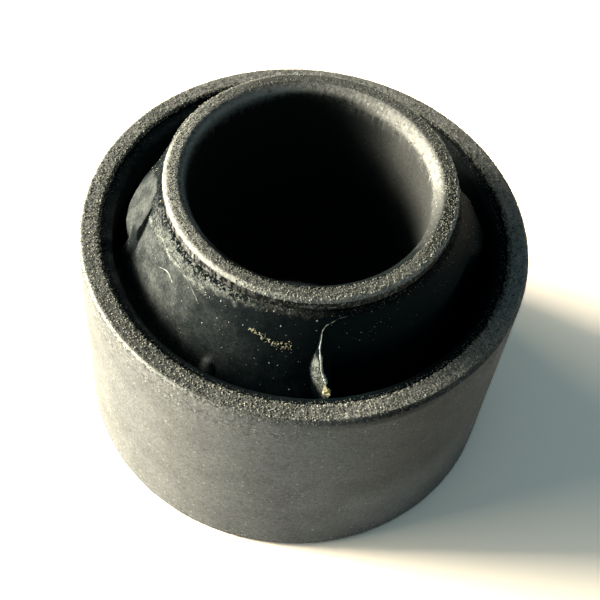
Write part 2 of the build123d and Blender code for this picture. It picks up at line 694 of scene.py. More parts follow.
@frozen
class DryResidue:
    """Loose dry residue on the rubber: chalky flash, brownish flakes and yellowish specks."""

    name: str = "dry_residue_finish"
    chalky: Colour = (0.84, 0.86, 0.76, 1)
    yellowish: Colour = (0.86, 0.76, 0.42, 1)
    brown: Colour = (0.06, 0.045, 0.022, 1)
    pitch: float = 0.18
    detail: float = 3.0
    rough: float = 0.6
    brown_span: Span = (0.34, 0.46, 0.6, 0)
    brown_tint: Gain = (-1, 0)
    roughness: Span = (0.3, 0.7, 0.5, 0.75)
    shine: float = 0.25

    def build(self) -> Material:
        """Makes the node material.

        Returns:
            The finished material.
        """
        material, sheet, shader = start_finish(self.name)
        grain = sheet.noise(sheet.place(), self.pitch, self.detail, self.rough)
        tint = sheet.field("tint")
        dry = sheet.blend(tint, self.chalky, self.yellowish)
        below = sheet.scaled(tint, *self.brown_tint)
        dim = sheet.math("MAXIMUM", sheet.span(grain, *self.brown_span), below, clamp=True)
        sheet.link(sheet.blend(dim, dry, self.brown), shader.inputs["Base Color"])
        sheet.link(sheet.span(grain, *self.roughness), shader.inputs["Roughness"])
        shader.inputs["Specular IOR Level"].default_value = self.shine
        return material


@frozen
class PhosphateGrain:
    """Single phosphate crystals, from dark ones to pale yellowish ones."""

    name: str = "phosphate_grain_finish"
    dark: Colour = (0.045, 0.047, 0.04, 1)
    pale: Colour = (0.74, 0.72, 0.58, 1)
    pitch: float = 0.12
    tint_span: Span = (0.3, 0.6, 0.6, 1)
    roughness: Span = (0.3, 0.7, 0.5, 0.75)
    shine: float = 0.2

    def build(self) -> Material:
        """Makes the node material.

        Returns:
            The finished material.
        """
        material, sheet, shader = start_finish(self.name)
        grain = sheet.noise(sheet.place(), self.pitch)
        share = sheet.times(sheet.field("tint"), sheet.span(grain, *self.tint_span), clamp=True)
        sheet.link(sheet.blend(share, self.dark, self.pale), shader.inputs["Base Color"])
        sheet.link(sheet.span(grain, *self.roughness), shader.inputs["Roughness"])
        shader.inputs["Specular IOR Level"].default_value = self.shine
        return material


def seen_directly(sheet: NodeSheet) -> Socket:
    """Switch that is 1 for camera, glossy and transmission rays."""
    path = sheet.node("ShaderNodeLightPath")
    seen = sheet.math("ADD", path.outputs["Is Camera Ray"], path.outputs["Is Glossy Ray"], clamp=True)
    return sheet.math("ADD", seen, path.outputs["Is Transmission Ray"], clamp=True)


@frozen
class FloorPaint:
    """Plain pale floor that shows white under the key lamp and keeps the bush's shadow."""

    name: str = "pale_floor_finish"
    bounce: Colour = (0.45, 0.505, 0.58, 1)
    shown: Colour = (3.35, 2.85, 2.28, 1)

    def build(self) -> Material:
        """Makes the node material.

        Returns:
            The finished material.
        """
        material, sheet, shader = start_finish(self.name, "ShaderNodeBsdfDiffuse")
        sheet.link(sheet.blend(seen_directly(sheet), self.bounce, self.shown), shader.inputs["Color"])
        return material


# ---------------------------------------------------------------- turned sleeves


@frozen
class Corner:
    """Corner of a turned section, with the run that follows it."""

    radius: float
    level: float
    rounding: float
    pitch: float
    zone: Zone


class TurnedSection:
    """Closed outline of a turned part, sampled into points with rounded corners."""

    CORNER_POINTS = 4

    def __init__(self, corners: list[Corner]) -> None:
        """Samples the outline.

        Args:
            corners: corners in order round the section.
        """
        self.points: list[tuple[float, float]] = []
        self.grits: list[float] = []
        count = len(corners)
        for index, corner in enumerate(corners):
            after = corners[(index + 1) % count]
            before = corners[index - 1]
            self._round_corner(before, corner, after)
            self._run(corner, after)

    def _round_corner(self, before: Corner, corner: Corner, after: Corner) -> None:
        """Adds a rounded corner as a short quadratic curve.

        Args:
            before: corner that the run comes from.
            corner: corner to round.
            after: corner that the run goes on to.
        """
        here = np.array([corner.radius, corner.level])
        inward = np.array([before.radius, before.level]) - here
        onward = np.array([after.radius, after.level]) - here
        start = here + inward / np.linalg.norm(inward) * corner.rounding
        end = here + onward / np.linalg.norm(onward) * corner.rounding
        for t in np.linspace(0.0, 1.0, self.CORNER_POINTS):
            spot = (1 - t) ** 2 * start + 2 * t * (1 - t) * here + t**2 * end
            self.points.append((spot[0], spot[1]))
            self.grits.append(Zone.EDGE.value)

    def _run(self, corner: Corner, after: Corner) -> None:
        """Adds the straight run between two rounded corners.

        Args:
            corner: corner that it starts from.
            after: corner that it ends at.
        """
        here = np.array([corner.radius, corner.level])
        there = np.array([after.radius, after.level])
        along = (there - here) / np.linalg.norm(there - here)
        start = here + along * corner.rounding
        end = there - along * after.rounding
        steps = max(1, round(np.linalg.norm(end - start) / corner.pitch))
        for t in np.linspace(0.0, 1.0, steps + 1)[1:-1]:
            spot = start + t * (end - start)
            self.points.append((spot[0], spot[1]))
            self.grits.append(corner.zone.value)

    def outward(self) -> Array:
        """Unit normals of the outline's points, pointing out of the metal."""
        path = np.array(self.points)
        along = np.roll(path, -1, axis=0) - np.roll(path, 1, axis=0)
        normal = np.stack([along[:, 1], -along[:, 0]], axis=1)
        return normal / np.linalg.norm(normal, axis=1, keepdims=True)


@frozen
class Places:
    """Places on a sleeve: distances from the axis, directions round it and heights."""

    radius: Array
    angle: Array
    level: Array


Mark = Callable[[Places], Array]


@frozen
class QuietBack:
    """How much finer and duller the grit is round the back."""

    strength: float = 0.4
    side: Swell = Swell(90, 85)

    def at(self, angle: Array) -> Array:
        """Share that is taken off at each angle."""
        return self.strength * self.side.at(angle)


@dataclass
class SteelSleeve:
    """Turned steel sleeve with a gritty phosphate coat worked into its mesh."""

    name: str
    node: str
    corners: list[Corner]
    seed: int
    soot: Mark
    worn: Mark
    comb: Mark
    turns: int = 1000
    grit_depth: float = 0.085
    grit_pitch: float = 0.3
    grit_layers: int = 2
    rubbed_share: float = 0.55
    quiet: QuietBack = QuietBack()

    def build(self, material: Material) -> Piece:
        """Builds the sleeve and hangs it under the root body.

        Args:
            material: steel finish.

        Returns:
            The sleeve's object.
        """
        section = TurnedSection(self.corners)
        outline = np.array(section.points)
        normal = section.outward()
        rows = len(outline)
        angle = np.repeat(np.linspace(0.0, FULL_TURN, self.turns, endpoint=False), rows)
        radius = np.tile(outline[:, 0], self.turns)
        level = np.tile(outline[:, 1], self.turns)
        grit = np.tile(np.array(section.grits), self.turns)
        grit = grit * (1.0 - self.quiet.at(angle))
        place = from_polar(radius, angle, level)
        grain = Grain(self.seed).layered(place, self.grit_pitch, self.grit_layers)
        sink = self.grit_depth * grit * (0.5 - 0.5 * np.clip(grain, -1.0, 1.0))
        sink = sink * (1.0 - self.rubbed_share * self.worn(Places(radius, angle, level)))
        radius = radius - sink * np.tile(normal[:, 0], self.turns)
        level = level - sink * np.tile(normal[:, 1], self.turns)
        points = from_polar(radius, angle, level)
        faces = [
            (
                turn * rows + row,
                (turn + 1) % self.turns * rows + row,
                (turn + 1) % self.turns * rows + (row + 1) % rows,
                turn * rows + (row + 1) % rows,
            )
            for turn in range(self.turns)
            for row in range(rows)
        ]
        at = Places(radius, angle, level)
        fields = {"grit": grit, "soot": self.soot(at), "worn": self.worn(at), "comb": self.comb(at)}
        sleeve = make_object(self.name, points, faces, fields, material)
        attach(sleeve, "root")
        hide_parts(self.node)
        LOG.info("%s: %d vertices", self.name, len(points))
        return sleeve


@frozen
class Spot:
    """Place on a sleeve's section: how far out from one of its radii and down from its upper end."""

    side: Side
    out: float
    down: float


def inside(out: float, down: float) -> Spot:
    """Place measured from a sleeve's inner radius."""
    return Spot(Side.INSIDE, out, down)


def outside(out: float, down: float) -> Spot:
    """Place measured from a sleeve's outer radius."""
    return Spot(Side.OUTSIDE, out, down)


@frozen
class Strip:
    """Strip of a sleeve that carries loose grains, between two places of its section."""

    start: Spot
    end: Spot
    outward: Point
    count: int
    size: Point
    paleness: float
    lift: float = 0.35
    clear: Point = (0, 0)


@dataclass
class GritCoat:
    """Phosphate crystals standing on a sleeve's faces."""

    name: str
    strips: tuple[Strip, ...]
    radii: dict[Side, float]
    high: float
    ceiling: float
    wall: float
    seed: int
    clear_share: float = 0.35
    back_tint: float = 0.22
    quiet: QuietBack = QuietBack()

    def build(self, material: Material) -> Piece:
        """Strews the grains, finer and duller at the back.

        Args:
            material: finish of the grains.

        Returns:
            The grains' object.
        """
        draw = np.random.default_rng(self.seed)
        places, sizes, tints = [], [], []
        for strip in self.strips:
            start, end = self._place(strip.start), self._place(strip.end)
            along = draw.random(strip.count)
            angle = draw.random(strip.count) * FULL_TURN
            size = strip.size[0] + (strip.size[1] - strip.size[0]) * draw.random(strip.count) ** 2
            lift = (strip.lift * (2.0 * draw.random(strip.count) - 1.0)) * size
            radius = start[0] + along * (end[0] - start[0]) + strip.outward[0] * lift
            level = start[1] + along * (end[1] - start[1]) + strip.outward[1] * lift
            tint = np.clip(strip.paleness * draw.random(strip.count) * 2.0, 0.0, 1.0)
            cleared = (angle > strip.clear[0]) & (angle < strip.clear[1])
            size = np.where(cleared, self.clear_share * size, size)
            quiet = self.quiet.at(angle)
            size = size * (1.0 - quiet)
            tint = tint + (self.back_tint - tint) * quiet
            radius = np.minimum(radius, self.wall - size)
            level = np.minimum(level, self.ceiling - size)
            places.append(from_polar(radius, angle, level))
            sizes.append(size)
            tints.append(tint)
        crumbs = Crumbs(np.concatenate(places), np.concatenate(sizes), np.concatenate(tints), self.seed + 1)
        return crumbs.build(self.name, Slot.STEEL, material)

    def _place(self, spot: Spot) -> Point:
        """Radius and level of a place on the section."""
        return self.radii[spot.side] + spot.out, self.high - spot.down


@dataclass
class OuterSleeve:
    """Thin outer sleeve with lead-in edges for pressing in.

    For its marks, out is measured from the outer radius and down from the upper end.
    """

    name: str = "sleeve_outer"
    node: str = "outer_sleeve"
    seed: int = 11
    clearance: float = 0.01
    wall_pitch: float = 1.6
    bore_pitch: float = 4.0
    spill_pitch: float = 0.22
    face_pitch: float = 0.13
    bottom_pitch: float = 0.4
    lead_width: float = 0.4
    lead_length: float = 0.5
    mouth: float = 0.3
    edge_round: float = 0.12
    spill: float = 2.2
    grain_ceiling: float = 0.12
    # Painted shade on the bore face by the lining, in a band under the lead-in edge and on the upper wall
    # away from the lamp; the front of the upper face is made darker too.
    hidden_out: Edge = Edge(0.15, 0.1)
    wall_out: Edge = Edge(-0.46, 0.06)
    band_round: Swell = Swell(300, 42)
    band_down: Stretch = Stretch(0.05, 0.15, 2.5, 1.6)
    band_strength: float = 0.66
    shade_round: Swell = Swell(310, 60)
    shade_down: Edge = Edge(22, 8)
    shade_strength: float = 0.5
    face_down: Edge = Edge(0.2, 0.1)
    face_darkening: Profile = Profile((185, 225, 245, 275, 300), (0.25, 0.52, 0.48, 0.36, 0))
    # Painted light: the face lightened in the inner sleeve's shadow, and a pale highlight on the upper edge
    # of the wall at the lamp side.
    face_painted_light: Profile = Profile((0, 15, 30, 325, 345, 360), (0.5, 0.3, 0, 0, 0.4, 0.5))
    edge_out: Edge = Edge(-0.4, 0.12)
    edge_down: Edge = Edge(0.52, 0.2)
    edge_lit_side: Stretch = Stretch(150, 20, 256, 26)
    face: Strip = Strip(inside(0.1, 0.03), outside(-0.4, 0.03), (0, 1), 8500, (0.05, 0.17), 0.46)
    lip: Strip = Strip(inside(-0.12, 0.28), inside(0.3, 0.02), (-0.7, 0.7), 4200, (0.06, 0.19), 0.42)
    seam: Strip = Strip(
        inside(-0.8, 0.8), inside(-0.02, 0.5), (-0.3, 0.9), 2600, (0.03, 0.1), 0.28, 0.1
    )
    lead: Strip = Strip(outside(-0.4, 0), outside(0, 0.5), (0.8, 0.6), 2600, (0.04, 0.1), 0.3)
    upper_wall: Strip = Strip(outside(0, 0.5), outside(0, 2.6), (1, 0), 1700, (0.03, 0.09), 0.4, 0)
    middle_wall: Strip = Strip(outside(0, 2), outside(0, 7), (1, 0), 800, (0.03, 0.08), 0.45, 0)
    whole_wall: Strip = Strip(outside(0, 2), outside(0, 26.2), (1, 0), 360, (0.05, 0.13), 0.55, 0)

    def build(self, material: Material) -> Piece:
        """Builds the outer sleeve.

        Args:
            material: steel finish.

        Returns:
            The sleeve's object.
        """
        outer = radius_of(self.node) - self.clearance
        inner = radius_of("rubber")
        low, high = height_span(self.node)
        fine, coarse, edge = self.face_pitch, self.wall_pitch, self.edge_round
        corners = [
            Corner(inner, low + self.mouth, edge, self.bore_pitch, Zone.BORE),
            Corner(inner, high - self.mouth, edge, fine, Zone.EDGE),
            Corner(inner + self.mouth, high, edge, fine, Zone.FACE),
            Corner(outer - self.lead_width, high, edge, fine, Zone.EDGE),
            Corner(outer, high - self.lead_length, edge, self.spill_pitch, Zone.SPILL),
            Corner(outer, high - self.spill, edge, coarse, Zone.WALL),
            Corner(outer, low + self.lead_length, edge, self.bottom_pitch, Zone.EDGE),
            Corner(outer - self.lead_width, low, edge, self.bottom_pitch, Zone.FACE),
            Corner(inner + self.mouth, low, edge, self.bottom_pitch, Zone.EDGE),
        ]
        corners.reverse()
        marks = (self.soot, self.worn, self.comb)
        return SteelSleeve(self.name, self.node, turned(corners), self.seed, *marks).build(material)

    def comb(self, at: Places) -> Array:
        """Dark dashes: this sleeve has none."""
        return np.zeros_like(at.radius + at.angle + at.level)

    def worn(self, at: Places) -> Array:
        """Painted light: a pale highlight on the upper edge of the wall at the lamp side, and the upper face
        lightened where the inner sleeve's shadow falls on it.

        Args:
            at: places on the sleeve.

        Returns:
            Shares from 0 to 1.
        """
        down = height_span(self.node)[1] - at.level
        edge = self.edge_out.past(at.radius - radius_of(self.node)) * self.edge_down.short(down)
        lit = edge * self.edge_lit_side.inside(at.angle)
        return np.maximum(lit, self.face_down.short(down) * self.face_painted_light.at(at.angle))

    def strew(self, material: Material) -> Piece:
        """Strews grains over the upper end and just inside it.

        Args:
            material: finish of the grains.

        Returns:
            The grains' object.
        """
        outer = radius_of(self.node) - self.clearance
        high = height_span(self.node)[1]
        radii = {Side.INSIDE: radius_of("rubber"), Side.OUTSIDE: outer}
        walls = (self.upper_wall, self.middle_wall, self.whole_wall)
        strips = (self.face, self.lip, self.seam, self.lead, *walls)
        room = (high + self.grain_ceiling, outer)
        return GritCoat("sleeve_outer_grit", strips, radii, high, *room, self.seed + 2).build(material)

    def soot(self, at: Places) -> Array:
        """Painted shade: the bore face where the lining meets the sleeve, a band on the wall just under the
        lead-in edge, and the upper wall away from the lamp; the front of the upper face is made darker too.

        Args:
            at: places on the sleeve.

        Returns:
            Shares from 0 to 1.
        """
        down = height_span(self.node)[1] - at.level
        hidden = self.hidden_out.short(at.radius - radius_of("rubber"))
        on_wall = self.wall_out.past(at.radius - radius_of(self.node))
        band = self.band_strength * on_wall * self.band_round.at(at.angle) * self.band_down.inside(down)
        wall_shade = self.shade_strength * self.shade_round.at(at.angle) * self.shade_down.short(down) * on_wall
        face = self.face_down.short(down) * self.face_darkening.at(at.angle)
        return np.maximum.reduce([hidden, band, wall_shade, face])


@dataclass
class InnerSleeve:
    """Thicker inner sleeve, chamfered inside and outside at both ends.

    For its marks, down is measured from the upper end, up from a named level below it, and out from the
    bore, the mouth's edge, the crown's edge or the wall.
    """

    name: str = "sleeve_inner"
    node: str = "inner_sleeve"
    seed: int = 23
    wall_pitch: float = 0.55
    face_pitch: float = 0.14
    bore_pitch: float = 1.4
    hidden_pitch: float = 6.0
    bore_chamfer_width: float = 0.9
    bore_chamfer_depth: float = 1.2
    tube_chamfer_width: float = 0.5
    tube_chamfer_depth: float = 0.9
    grain_room: float = 0.06
    crown_width: float = 0.44
    crown_drop: float = 0.09
    shoulder_width: float = 0.13
    shoulder_drop: float = 0.24
    neck_start: float = 0.64
    bare_depth: float = 2.0
    edge_round: float = 0.1
    shoulder_round: float = 0.12
    mouth_round: float = 0.42
    throat_round: float = 0.45
    wall_room: float = 0.2
    outside_out: Edge = Edge(-0.1, 0.07)
    comb_down: Edge = Edge(-0.1, 0.1)
    comb_seen: Stretch = Stretch(168, 12, 268, 20)
    shoulder_out: Edge = Edge(-0.05, 0.25)
    shoulder_up: Edge = Edge(0, 0.2)
    # Painted light: highlights on the shoulder, mouth and crown at the lamp side, and the shaded front
    # shoulder and far chamfer lightened.
    shoulder_painted_light: Profile = Profile(
        (0, 60, 95, 150, 170, 182, 238, 246, 262, 300, 330, 360),
        (0.55, 0.3, 0.1, 0.1, 0.3, 1.1, 1.2, 1, 0.62, 0.42, 0.42, 0.5),
    )
    mouth_out: Edge = Edge(-0.1, 0.2)
    mouth_up: Edge = Edge(-0.1, 0.2)
    mouth_painted_light: Profile = Profile(
        (0, 15, 32, 50, 66, 90, 110, 150, 180, 220, 340, 360),
        (0.1, 0.55, 0.6, 0.45, 0.15, 0.3, 1, 1, 0.6, 0, 0, 0.1),
    )
    crown_out: Edge = Edge(0, 0.2)
    crown_up: Edge = Edge(-0.3, 0.1)
    crown_highlight: Profile = Profile((140, 160, 205, 232), (0, 0.62, 0.52, 0.1))
    # Painted shade down the bore, darker with depth and away from its lit side, in the throat and on the
    # crown away from the lamp. The mouth is made darker round its front, and the shoulder round its
    # back-left.
    bore_out: Edge = Edge(0.1, 0.1)
    bore_down: Edge = Edge(5, 14)
    bore_shade: Profile = Profile((0, 45, 75, 100, 300, 335, 360), (0.6, 0.54, 0.78, 1, 1, 0.7, 0.6))
    reach: float = 0.12
    reach_more: float = 0.2
    reach_round: Stretch = Stretch(225, 20, 330, 15)
    reach_out: Edge = Edge(0, 0.1)
    mouth_darkening: Profile = Profile(
        (0, 15, 60, 95, 120, 150, 180, 210, 240, 300, 318, 330, 345, 360),
        (0.44, 0, 0, 0, 0, 0, 0, 0.1, 1, 1.2, 1.1, 0.68, 0.6, 0.44),
    )
    throat_out: Edge = Edge(0.78, 0.72)
    throat_down: Edge = Edge(3, 0.5)
    throat_shade: Profile = Profile(
        (0, 30, 60, 80, 100, 120, 150, 195, 225, 240, 310, 335, 350, 360),
        (0, 0, 0.3, 0.75, 0.86, 0.66, 0.64, 0.8, 0.8, 1, 1, 0.5, 0, 0),
    )
    shoulder_start_out: Edge = Edge(0, 0.2)
    back_shoulder_darkening: Profile = Profile((85, 110, 150, 165, 177), (0, 0.45, 0.85, 0.8, 0))
    top_out: Edge = Edge(0, 0.1)
    top_shade: Profile = Profile(
        (0, 30, 60, 90, 120, 135, 150, 225, 240, 300, 318, 330, 345, 360),
        (0.74, 0.58, 0.52, 0.48, 0.54, 0.44, 0, 0, 0.42, 0.5, 0.34, 0.58, 0.78, 0.74),
    )
    # Real dark pitted band under the shoulder, left lighter on the lamp side as painted light.
    pits_down: Edge = Edge(-0.05, 0.12)
    pits: Profile = Profile((150, 182, 235, 262), (0.85, 0.28, 0.34, 0.85))
    crown: Strip = Strip(inside(1.02, 0.06), outside(-0.44, 0.09), (0.1, 1), 5200, (0.04, 0.13), 0.46)
    upper_shoulder: Strip = Strip(
        outside(-0.44, 0.09),
        outside(-0.13, 0.24),
        (0.4, 0.9),
        1400,
        (0.05, 0.14),
        1,
        clear=(168.0, 246.0),
    )
    lower_shoulder: Strip = Strip(
        outside(-0.13, 0.24),
        outside(0, 0.64),
        (0.9, 0.4),
        1200,
        (0.05, 0.14),
        1,
        clear=(168.0, 246.0),
    )
    throat: Strip = Strip(inside(0.1, 1.1), inside(0.9, 0.2), (-0.8, 0.6), 500, (0.02, 0.04), 0.12)
    neck: Strip = Strip(
        outside(0.01, 0.7),
        outside(0.01, 1.9),
        (1, 0),
        900,
        (0.04, 0.11),
        0.2,
        0.2,
        (168, 246),
    )

    def build(self, material: Material) -> Piece:
        """Builds the inner sleeve.

        Args:
            material: steel finish.

        Returns:
            The sleeve's object.
        """
        outer = radius_of(self.node)
        bore = mount_radius("bore")
        low, high = height_span(self.node)
        fine, coarse = self.face_pitch, self.wall_pitch
        edge, shoulder = self.edge_round, self.shoulder_round
        mouth = bore + self.bore_chamfer_width
        corners = [
            Corner(bore, low + self.bore_chamfer_depth, edge, self.bore_pitch, Zone.BORE),
            Corner(bore, high - self.bore_chamfer_depth, self.throat_round, fine, Zone.EDGE),
            Corner(mouth, high - self.grain_room, self.mouth_round, fine, Zone.FACE),
            Corner(outer - self.crown_width, high - self.crown_drop, shoulder, fine, Zone.FACE),
            Corner(outer - self.shoulder_width, high - self.shoulder_drop, shoulder, fine, Zone.EDGE),
            Corner(outer, high - self.neck_start, shoulder, fine, Zone.FACE),
            Corner(outer, high - self.bare_depth, edge, self.hidden_pitch, Zone.WALL),
            Corner(outer, low + self.tube_chamfer_depth, edge, fine, Zone.EDGE),
            Corner(outer - self.tube_chamfer_width, low, edge, coarse, Zone.FACE),
            Corner(mouth, low, edge, fine, Zone.EDGE),
        ]
        corners.reverse()
        marks = (self.soot, self.worn, self.comb)
        return SteelSleeve(self.name, self.node, turned(corners), self.seed, *marks).build(material)

    def comb(self, at: Places) -> Array:
        """Dark upright dashes on the bare band under the shoulder, at the lit side.

        Args:
            at: places on the sleeve.

        Returns:
            Shares from 0 to 1.
        """
        down = height_span(self.node)[1] - at.level - self.neck_start
        outside = self.outside_out.past(at.radius - radius_of(self.node))
        return outside * self.comb_down.past(down) * self.comb_seen.inside(at.angle)

    def worn(self, at: Places) -> Array:
        """Painted light round the upper end: a painted highlight on the shoulder, mouth and crown at the
        lamp side, and shaded stretches lightened, over some real wear.

        Args:
            at: places on the sleeve.

        Returns:
            Shares from 0 to 1, and a little over where it is lightest.
        """
        up = at.level - height_span(self.node)[1]
        from_crown = at.radius - radius_of(self.node) + self.crown_width
        from_mouth = at.radius - mount_radius("bore") - self.bore_chamfer_width
        shoulder = self.shoulder_out.past(from_crown) * self.shoulder_up.past(up + self.neck_start)
        mouth = self.mouth_out.short(from_mouth) * self.mouth_up.past(up + self.bore_chamfer_depth)
        crown = self.crown_out.past(from_mouth) * self.crown_up.past(up)
        return np.maximum.reduce(
            [
                shoulder * self.shoulder_painted_light.at(at.angle),
                mouth * self.mouth_painted_light.at(at.angle),
                crown * self.crown_highlight.at(at.angle),
            ]
        )

    def strew(self, material: Material) -> Piece:
        """Strews grains over the upper end and the bare band under it.

        Args:
            material: finish of the grains.

        Returns:
            The grains' object.
        """
        outer = radius_of(self.node)
        high = height_span(self.node)[1]
        radii = {Side.INSIDE: mount_radius("bore"), Side.OUTSIDE: outer}
        strips = (self.crown, self.upper_shoulder, self.lower_shoulder, self.throat, self.neck)
        wall = outer + self.wall_room
        return GritCoat("sleeve_inner_grit", strips, radii, high, high, wall, self.seed + 2).build(material)

    def soot(self, at: Places) -> Array:
        """Darkening: painted shade down the bore, in the throat and on the crown away from the lamp; darker
        round the front of the mouth and the back of the shoulder; and the real dark pitted band below, left
        lighter on the lamp side as painted light.

        Args:
            at: places on the sleeve.

        Returns:
            Shares from 0 to 1, and a little over where it is darkest.
        """
        down = height_span(self.node)[1] - at.level
        from_bore = at.radius - mount_radius("bore")
        from_mouth = from_bore - self.bore_chamfer_width
        from_crown = at.radius - radius_of(self.node) + self.crown_width
        lit = self.bore_shade.at(at.angle)
        deep = self.bore_out.short(from_bore) * (lit + (1.0 - lit) * self.bore_down.past(down))
        reach = self.reach + self.reach_more * self.reach_round.inside(at.angle)
        mouth = self.reach_out.short(from_mouth - reach) * self.mouth_darkening.at(at.angle)
        throat = self.throat_out.short(from_bore) * self.throat_down.short(down)
        on_shoulder = self.shoulder_start_out.past(from_crown)
        on_top = self.top_out.past(from_mouth) * (1.0 - on_shoulder)
        outside = self.outside_out.past(at.radius - radius_of(self.node))
        pitted = outside * self.pits_down.past(down - self.neck_start)
        return np.maximum.reduce(
            [
                deep,
                mouth,
                throat * self.throat_shade.at(at.angle),
                on_shoulder * self.back_shoulder_darkening.at(at.angle),
                on_top * self.top_shade.at(at.angle),
                pitted * self.pits.at(at.angle),
            ]
        )


@dataclass
class Crumbs:
    """Many small faceted crumbs in one mesh."""

    ENDS = ((1, 0, 0), (-1, 0, 0), (0, 1, 0), (0, -1, 0), (0, 0, 1), (0, 0, -1))
    SIDES = ((0, 2, 4), (2, 1, 4), (1, 3, 4), (3, 0, 4), (2, 0, 5), (1, 2, 5), (3, 1, 5), (0, 3, 5))

    places: Array
    sizes: Array
    tints: Array
    seed: int
    flatness: float = 1.0
    least_stretch: float = 0.65
    least_reach: float = 0.8

    def build(self, name: str, slot: Slot, material: Material) -> Piece:
        """Makes the crumbs as one piece.

        Args:
            name: name of the piece.
            slot: not used.
            material: finish of the crumbs.

        Returns:
            The crumbs' object.
        """
        draw = np.random.default_rng(self.seed)
        count = len(self.places)
        corners = len(self.ENDS)
        stretch = self.least_stretch + (1.0 - self.least_stretch) * draw.random((count, 1, 3))
        stretch[:, :, 2] *= self.flatness
        reach = self.least_reach + (1.0 - self.least_reach) * draw.random((count, corners, 1))
        shape = np.array(self.ENDS, dtype=float)[None] * stretch * reach
        spin = draw.normal(size=(count, 4))
        spin /= np.linalg.norm(spin, axis=1, keepdims=True)
        w, axis = spin[:, None, :1], np.broadcast_to(spin[:, None, 1:], (count, corners, 3))
        across = np.cross(axis, shape)
        shape = shape + 2.0 * (w * across + np.cross(axis, across))
        points = self.places[:, None] + shape * self.sizes[:, None, None]
        faces = (np.array(self.SIDES)[None] + corners * np.arange(count)[:, None, None]).reshape(-1, 3)
        fields = {"tint": np.repeat(self.tints, corners)}
        piece = make_object(name, points.reshape(-1, 3), faces.tolist(), fields, material, rounded=False)
        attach(piece, "root")
        LOG.info("%s: %d crumbs", name, count)
        return piece


def turned(backwards: list[Corner]) -> list[Corner]:
    """Gives reversed corners the pitch and zone of the run that now follows them.

    Args:
        backwards: corners in reversed order.

    Returns:
        The corners with their new pitches and zones.
    """
    count = len(backwards)
    return [
        Corner(
            corner.radius,
            corner.level,
            corner.rounding,
            backwards[(index + 1) % count].pitch,
            backwards[(index + 1) % count].zone,
        )
        for index, corner in enumerate(backwards)
    ]


# ---------------------------------------------------------------- rubber moulding


@frozen
class Noise:
    """Noise of its own: how strong it is, where it is drawn from, its pitch and its layers."""

    gain: float
    offset: float
    pitch: float
    layers: int = 2

    def at(self, grain: Grain, points: Array) -> Array:
        """Layered noise at points."""
        return self.gain * grain.layered(points + self.offset, self.pitch, self.layers)

    def single(self, grain: Grain, points: Array) -> Array:
        """Noise of one layer at points."""
        return self.gain * grain.sample(points + self.offset, self.pitch)


@frozen
class Pocket:
    """Crescent void through the rubber beside a pad; angles run from the pad's start."""

    begin: float = 2.2
    finish: float = 90.8
    flare: Profile = Profile(
        (56, 66, 69, 72, 76, 80, 85.5, 88.5, 90.8), (0, 0.04, 0.24, 0.68, 1.24, 1.58, 1.7, 1.5, 1.15)
    )
    heel_round: float = 0.5
    corner_round: float = 1.29
    tip_round: float = 0.4

    def _ease(self, distance: Array, rounding: float) -> Array:
        """How far a round of a given radius stands in from its wall, by distance from its end."""
        inside = np.clip(rounding - distance, 0.0, rounding)
        return rounding - np.sqrt(rounding**2 - inside**2)

    def inner_gain(self, local: Array, knee: float) -> Array:
        """How far the pocket's inner edge lies outside the knee.

        Args:
            local: angles from the pad's start.
            knee: radius of the pad's knee.

        Returns:
            Added radius at each angle.
        """
        flare = self.flare.at(local)
        from_begin = np.radians(np.maximum(local - self.begin, 0.0)) * knee
        from_finish = np.radians(np.maximum(self.finish - local, 0.0)) * (knee + self.flare.values[-1])
        heel = self._ease(from_begin, self.heel_round)
        tip = self._ease(from_finish, self.tip_round)
        return flare + heel + tip

    def outer_loss(self, local: Array, wall: float) -> Array:
        """How far the pocket's outer edge lies inside the lining's wall."""
        from_begin = np.radians(np.maximum(local - self.begin, 0.0)) * wall
        from_finish = np.radians(np.maximum(self.finish - local, 0.0)) * wall
        return self._ease(from_begin, self.corner_round) + self._ease(from_finish, self.tip_round)


@frozen
class Dent:
    """Small lump or hollow on the rubber's upper side, round in plan."""

    radius: float
    angle: float
    half_width: float
    half_angle: float
    depth: float

    def height(self, radius: Array, angle: Array) -> Array:
        """Added level at points."""
        turned_by = np.mod(angle - self.angle + 180.0, 360.0) - 180.0
        away = np.hypot((radius - self.radius) / self.half_width, turned_by / self.half_angle)
        return self.depth * smooth(1.0 - away)


